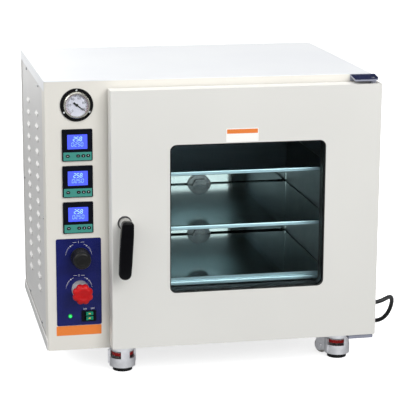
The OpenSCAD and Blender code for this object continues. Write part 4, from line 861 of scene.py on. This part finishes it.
flute = vacuumKnob["fluteIn"]  # the sides of a flute are half as deep as its middle
knob = addKnob(vacuumKnob, [((2, 4), (1 + flute) / 2), ((3,), flute)], "vacuum_knob")
settle(knob, "vacuumKnob", "vacuum_tap", knobBlack, 40)
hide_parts("vacuum_knob")

valley, tip = ventKnob["valleyShare"], ventKnob["tipShare"]
perLobe = ventKnob["sides"] // ventKnob["repeat"]
lobes = [((phase,), valley + (tip - valley) * sin(pi * phase / perLobe))
         for phase in range(perLobe)]  # round tips, narrow valleys
knob = addKnob(ventKnob, lobes, "vent_knob")
settle(knob, "ventKnob", "vent_tap", knobRed, 40)
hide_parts("vent_knob")
print("knobs done")


# lower hinge leaf: the folded edge that stiffens the plate under the door

hingeLeaf = {
    "from": 671.2, "to": 727.8, "low": 0.5, "high": 9.2,
    "front": 0.4, "back": -0.4,  # before the plate's edge, and clear of the cabinet
    "bevel": 0.6,
}
leafLow = inCabinet(hingeLeaf["from"], 0, hingeLeaf["low"])
leafLow.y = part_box("hinge_brackets")[0].y - hingeLeaf["front"] * mm
leaf = addBlock(leafLow, inCabinet(hingeLeaf["to"], hingeLeaf["back"], hingeLeaf["high"]))
addBevel(leaf, hingeLeaf["bevel"], 2)
settle(leaf, "lowerHingeLeaf", "cabinet", hingeEnamel)
print("lower hinge leaf done")


# door grip: moulded lever, round at the ends, with a fine parting line and a patch of dots

lever = {
    "axis": (163.5, 293),  # the spindle it turns on
    "up": 13, "down": 114,
    "wideTop": 25, "wideMid": 28, "wideLow": 26,
    "front": -96, "back": -74, "thinEnd": 6,
    "leanDeg": 3.6,
    "cornerTop": 8, "cornerLow": 12, "rim": 4.5,
    "cuts": (20, 50, 80), "thinning": ((114, 1.0), (80, 0.66), (50, 0.36)),
    "lineDown": 18, "lineHalf": 0.5, "lineIn": (0.95, 0.94, 1),  # the parting line
    "dots": (5, 3), "dotPitch": 3.0, "dotRadius": 0.9, "dotDown": 99, "dotSunk": 0.2,
}
x, z = lever["axis"]
half = lever["wideMid"] / 2
grip = addBlock(inCabinet(x - half, lever["front"], z - lever["down"]),
                inCabinet(x + half, lever["back"], z + lever["up"]))
gripAxis = inCabinet(x, 0, z)
mode("EDIT")
for down in lever["cuts"]:
    cutAt(inCabinet(x, 0, z - down))
for level, wide in ((lever["up"], lever["wideTop"]), (-lever["down"], lever["wideLow"])):
    height = inCabinet(0, 0, z + level).z
    pick(grip, "verts", lambda point: abs(point.co.z - height) < mm)
    resize((wide / lever["wideMid"], 1, 1), gripAxis)
backFace = inCabinet(0, lever["back"], 0).y
for down, share in lever["thinning"]:
    height = inCabinet(0, 0, z - down).z
    pick(grip, "verts", lambda point: abs(point.co.z - height) < mm and abs(point.co.y - backFace) < mm)
    bpy.ops.transform.translate(value=(0, -lever["thinEnd"] * share * mm, 0))
for end, radius in ((lever["up"], lever["cornerTop"]), (-lever["down"], lever["cornerLow"])):
    height = inCabinet(0, 0, z + end).z
    pick(grip, "edges", lambda edge: abs(edge.verts[0].co.y - edge.verts[1].co.y) > 8 * mm
         and all(abs(point.co.z - height) < mm for point in edge.verts))
    bpy.ops.mesh.bevel(offset=radius * mm, segments=8)
mode("OBJECT")
addBevel(grip, lever["rim"], 5, limit_method="ANGLE", angle_limit=radians(40),
         use_clamp_overlap=True)
mode("EDIT")
for step in range(3):
    cutAt(inCabinet(x, 0, z - lever["lineDown"] - step * lever["lineHalf"]))
height = inCabinet(0, 0, z - lever["lineDown"] - lever["lineHalf"]).z
pick(grip, "verts", lambda point: abs(point.co.z - height) < 0.1 * mm)
lineMiddle = inCabinet(x, (lever["front"] + lever["back"]) / 2, z)
resize(lever["lineIn"], lineMiddle)
mode("OBJECT")
dots = []
across, rows = lever["dots"]
for column in range(across):
    for row in range(rows):
        right = (column - (across - 1) / 2) * lever["dotPitch"]
        down = lever["dotDown"] + (row - (rows - 1) / 2) * lever["dotPitch"]
        bpy.ops.mesh.primitive_uv_sphere_add(
            segments=12, ring_count=6, radius=lever["dotRadius"] * mm,
            location=inCabinet(x + right, lever["front"] + lever["dotSunk"], z - down))
        dots.append(bpy.context.object)
grip = joinAll([grip] + dots)
bakePlace()
mode("EDIT")
selectAll()
bpy.ops.transform.rotate(value=-radians(lever["leanDeg"]), orient_axis="Y",
                         center_override=tuple(gripAxis))
mode("OBJECT")
settle(grip, "doorGrip", "handle", gripBlack, 50)
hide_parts("door_handle")
print("grip done")


# window seals: silicone bead in front of the glass, dark lining behind it


def addRing(opening, inset, wide, frontMm, backMm, corner, name, material):
    # a round-cornered ring inset from an opening and running from front to back
    low, high = opening
    ring = addBlock(Vector((low.x + inset * mm, inCabinet(0, frontMm, 0).y, low.z + inset * mm)),
                    Vector((high.x - inset * mm, inCabinet(0, backMm, 0).y, high.z - inset * mm)))
    mode("EDIT")
    pick(ring, "edges", lambda edge: abs(edge.verts[0].co.y - edge.verts[1].co.y) > 0.2 * mm)
    bpy.ops.mesh.bevel(offset=corner * mm, segments=8)
    pick(ring, "faces", lambda face: abs(face.normal.y) > 0.9)
    bpy.ops.mesh.inset(thickness=wide * mm, depth=0)
    bpy.ops.mesh.bridge_edge_loops()
    mode("OBJECT")
    return settle(ring, name, "door", material, 40)


windowSeal = {
    "wide": 345.5, "tall": 329, "centre": (435, 295),
    # inset, width, front, back and corner
    "bead": (0.2, 2.2, -45.3, -44.45, 13.8), "lining": (-0.7, 2.6, -32.25, -6.2, 14),
}
x, z = windowSeal["centre"]
halfWide, halfTall = windowSeal["wide"] / 2, windowSeal["tall"] / 2
opening = (inCabinet(x - halfWide, 0, z - halfTall), inCabinet(x + halfWide, 0, z + halfTall))
sealBlack = rubber("blackSiliconeSeal", "#141516", "#1b1c1e", 0.45)
addRing(opening, *windowSeal["bead"], "windowBead", sealBlack)
addRing(opening, *windowSeal["lining"], "windowLining", sealBlack)
print("seals done")


# strain relief and moulded plug

gland = {
    "start": 712,  # just inside the side panel
    "steps": [(-6, 8.2), (3.5, 8.2), (3.5, 11), (5, 11), (6.2, 10)],  # along the cord from the panel, radius
    "ribs": 6, "ribFrom": 6.6, "ribPitch": 4.6, "thick": 9.6, "thin": 6.2, "groove": 1.5, "tip": 36.4,
}
rings = [(distance + 0.2, radius) for distance, radius in gland["steps"]]
for rib in range(gland["ribs"]):
    start = gland["ribFrom"] + rib * gland["ribPitch"]
    share = rib / (gland["ribs"] - 1)
    radius = gland["thick"] + (gland["thin"] - gland["thick"]) * share
    rings += [(start, radius - gland["groove"]), (start + 0.9, radius - gland["groove"]),
              (start + 1.3, radius), (start + gland["ribPitch"] - 0.8, radius - 0.25)]
rings += [(gland["tip"] - 0.6, 6.0), (gland["tip"], 5.2)]
relief = addTurned(rings, 40)
relief.rotation_euler = (0, pi / 2, 0)
relief.location = middle("strain_relief")
relief.location.x = inCabinet(gland["start"], 0, 0).x
settle(relief, "strainRelief", "cabinet", cordPvc, 30)
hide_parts("strain_relief")

plug = {
    "low": (768, 467, -45), "high": (804, 493, -25), "centre": (480, -35),
    "neck": (812, 0.66), "cuff": (820, 0.8),
    "face": 3, "rim": 2.2,
    "ridges": 4, "ridgeFrom": 14, "ridgePitch": 4.5, "ridgeWide": 2, "ridgeShort": 4, "ridgeBevel": 0.7,
    "blades": (748, 6.5, 1.6, 6),  # tips, half the gap between their middles, thickness, height
    "bladeBevel": 0.5, "earthLevel": -41, "held": 1,  # how deep the pins reach into the body
}
body = addBlock(inCabinet(*plug["low"]), inCabinet(*plug["high"]))
mode("EDIT")
across, level = plug["centre"]
endPlace = inCabinet(plug["high"][0], across, level)
pick(body, "faces", lambda face: face.normal.x > 0.9)
for reach, shrink in (plug["neck"], plug["cuff"]):
    step = inCabinet(reach, 0, 0).x - endPlace.x
    bpy.ops.mesh.extrude_region_move(TRANSFORM_OT_translate={"value": (step, 0, 0)})
    endPlace.x += step
    resize((1, shrink, shrink), endPlace)
pick(body, "faces", lambda face: face.normal.x < -0.9)
bpy.ops.mesh.inset(thickness=plug["face"] * mm, depth=0)
mode("OBJECT")
addBevel(body, plug["rim"], 4, limit_method="ANGLE", angle_limit=radians(35))
ridges = []
for ridge in range(plug["ridges"]):
    x = plug["low"][0] + plug["ridgeFrom"] + ridge * plug["ridgePitch"]
    bar = addBlock(inCabinet(x, plug["low"][1], plug["low"][2] + plug["ridgeShort"]),
                   inCabinet(x + plug["ridgeWide"], plug["high"][1], plug["high"][2] - plug["ridgeShort"]))
    addBevel(bar, plug["ridgeBevel"], 2)
    ridges.append(bar)
powerPlug = settle(joinAll([body] + ridges), "powerPlug", "cabinet", cordPvc, 40)
tip, spacing, thick, tall = plug["blades"]
root = plug["low"][0] + plug["held"]
blades = []
for side in (-1, 1):
    y = across + side * spacing
    blade = addBlock(inCabinet(tip, y - thick / 2, level - tall / 2),
                     inCabinet(root, y + thick / 2, level + tall / 2))
    addBevel(blade, plug["bladeBevel"], 2)
    blades.append(blade)
earthPin = addTurned([(0, 1.4), (0.6, 2.1), (1.6, 2.4), (root - tip, 2.4)], 24)
earthPin.rotation_euler = (0, pi / 2, 0)
earthPin.location = inCabinet(tip, across, plug["earthLevel"])
bakePlace()
blades.append(earthPin)
plugBlades = settle(joinAll(blades), "plugBlades", "cabinet", brightSteel)
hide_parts("power_plug")
print("plug done")


# studio: pale floor, white surround, soft lights

studio = {
    "floorSize": 30,
    "glow": 0.72,  # the paper's own light, which keeps it white
    "mirrored": (1.0, 0.3),  # how bright mirrors see the floor just in front, and elsewhere
    "frontStrip": -0.65, "stripFrom": 0.22, "stripTo": 0.5,
    "roomFloor": "#707274",  # what the light bounces off
    # a side, how far a ray faces it as the light grows, and its two strengths
    "sky": ((-0.5, -0.2, 0.85), 0.15, 0.8, 0.04, 0.8),  # dark round the walls, bright overhead
    "wall": ((0.2, -0.93, 0.27), 0.77, 0.92, 0.0, 1.3),  # a lit white wall behind the viewer
}
lights = {
    "topLight": {"place": (-0.3, 0.3, 2.7), "size": 3.0, "watts": 22},
    "keyLight": {"place": (1.1, -3.2, 2.3), "size": 2.0, "watts": 50},
    "sideLight": {"place": (-3.0, -0.5, 2.6), "size": 1.6, "watts": 34},
    "backLight": {"place": (-1.1, 3.4, 1.15), "size": 2.4, "watts": 27},
    "rightLight": {"place": (3.3, 0.7, 1.2), "size": 1.6, "watts": 24},
}
lightAim = Vector((0, 0, 0.3))
bpy.ops.mesh.primitive_plane_add(size=studio["floorSize"])
floor = bpy.context.object
floor.name = "studioFloor"
paper, tree, shader, place = startMaterial(
    "backgroundPaper", "#fbfbfb", 0.8,
    {"Emission Color": srgb("#ffffff"), "Emission Strength": studio["glow"]})
addGrain(tree, shader, place, 4, 0.01)
roomFloor = addNode(tree, "BsdfDiffuse", {"Color": srgb(studio["roomFloor"])})
parts = addNode(tree, "SeparateXYZ", {}, {"Vector": place})
away = addNode(tree, "Math", {"operation": "SUBTRACT", 1: studio["frontStrip"]}, {0: parts.outputs["Y"]})
away = addNode(tree, "Math", {"operation": "ABSOLUTE"}, {0: away.outputs[0]})
strength = addNode(tree, "MapRange", {"From Min": studio["stripFrom"], "From Max": studio["stripTo"],
                                      "To Min": studio["mirrored"][0], "To Max": studio["mirrored"][1]},
                   {"Value": away.outputs[0]})
litFloor = addNode(tree, "Emission", {"Color": srgb("#fafcff")}, {"Strength": strength.outputs["Result"]})
notSeen = splitRays(tree, "Is Glossy Ray", roomFloor, litFloor)
paperOrFloor = splitRays(tree, "Is Camera Ray", notSeen, shader)
tree.links.new(paperOrFloor.outputs[0], tree.nodes["Material Output"].inputs["Surface"])
floor.data.materials.append(paper)

world = bpy.data.worlds.new("whiteStudio")
bpy.context.scene.world = world
world.use_nodes = True
tree = world.node_tree
direction = addNode(tree, "TexCoord").outputs["Generated"]


def addGlow(side, facingLow, facingHigh, low, high):
    # strength of the surround, which grows as a ray turns towards a side
    facing = addNode(tree, "VectorMath", {"operation": "DOT_PRODUCT", 1: Vector(side).normalized()},
                     {0: direction})
    glow = addNode(tree, "MapRange", {"From Min": facingLow, "From Max": facingHigh, "To Min": low,
                                      "To Max": high}, {"Value": facing.outputs["Value"]})
    return glow.outputs["Result"]


both = addNode(tree, "Math", {"operation": "ADD"},
               {0: addGlow(*studio["sky"]), 1: addGlow(*studio["wall"])})
ambient = tree.nodes["Background"]
tree.links.new(both.outputs[0], ambient.inputs["Strength"])
ambient.inputs["Color"].default_value = srgb("#ffffff")
backdrop = addNode(tree, "Background", {"Color": (1, 1, 1, 1), "Strength": 1.0})
mixed = splitRays(tree, "Is Camera Ray", ambient, backdrop)
tree.links.new(mixed.outputs[0], tree.nodes["World Output"].inputs["Surface"])
for name, setting in lights.items():
    bpy.ops.object.light_add(type="AREA", location=setting["place"])
    light = bpy.context.object
    light.name = name
    light.data.size = setting["size"]
    light.data.energy = setting["watts"]
    light.rotation_euler = (lightAim - Vector(setting["place"])).to_track_quat("-Z", "Y").to_euler()
bpy.context.scene.view_settings.view_transform = "Standard"
print("studio set")


bpy.context.view_layer.update()
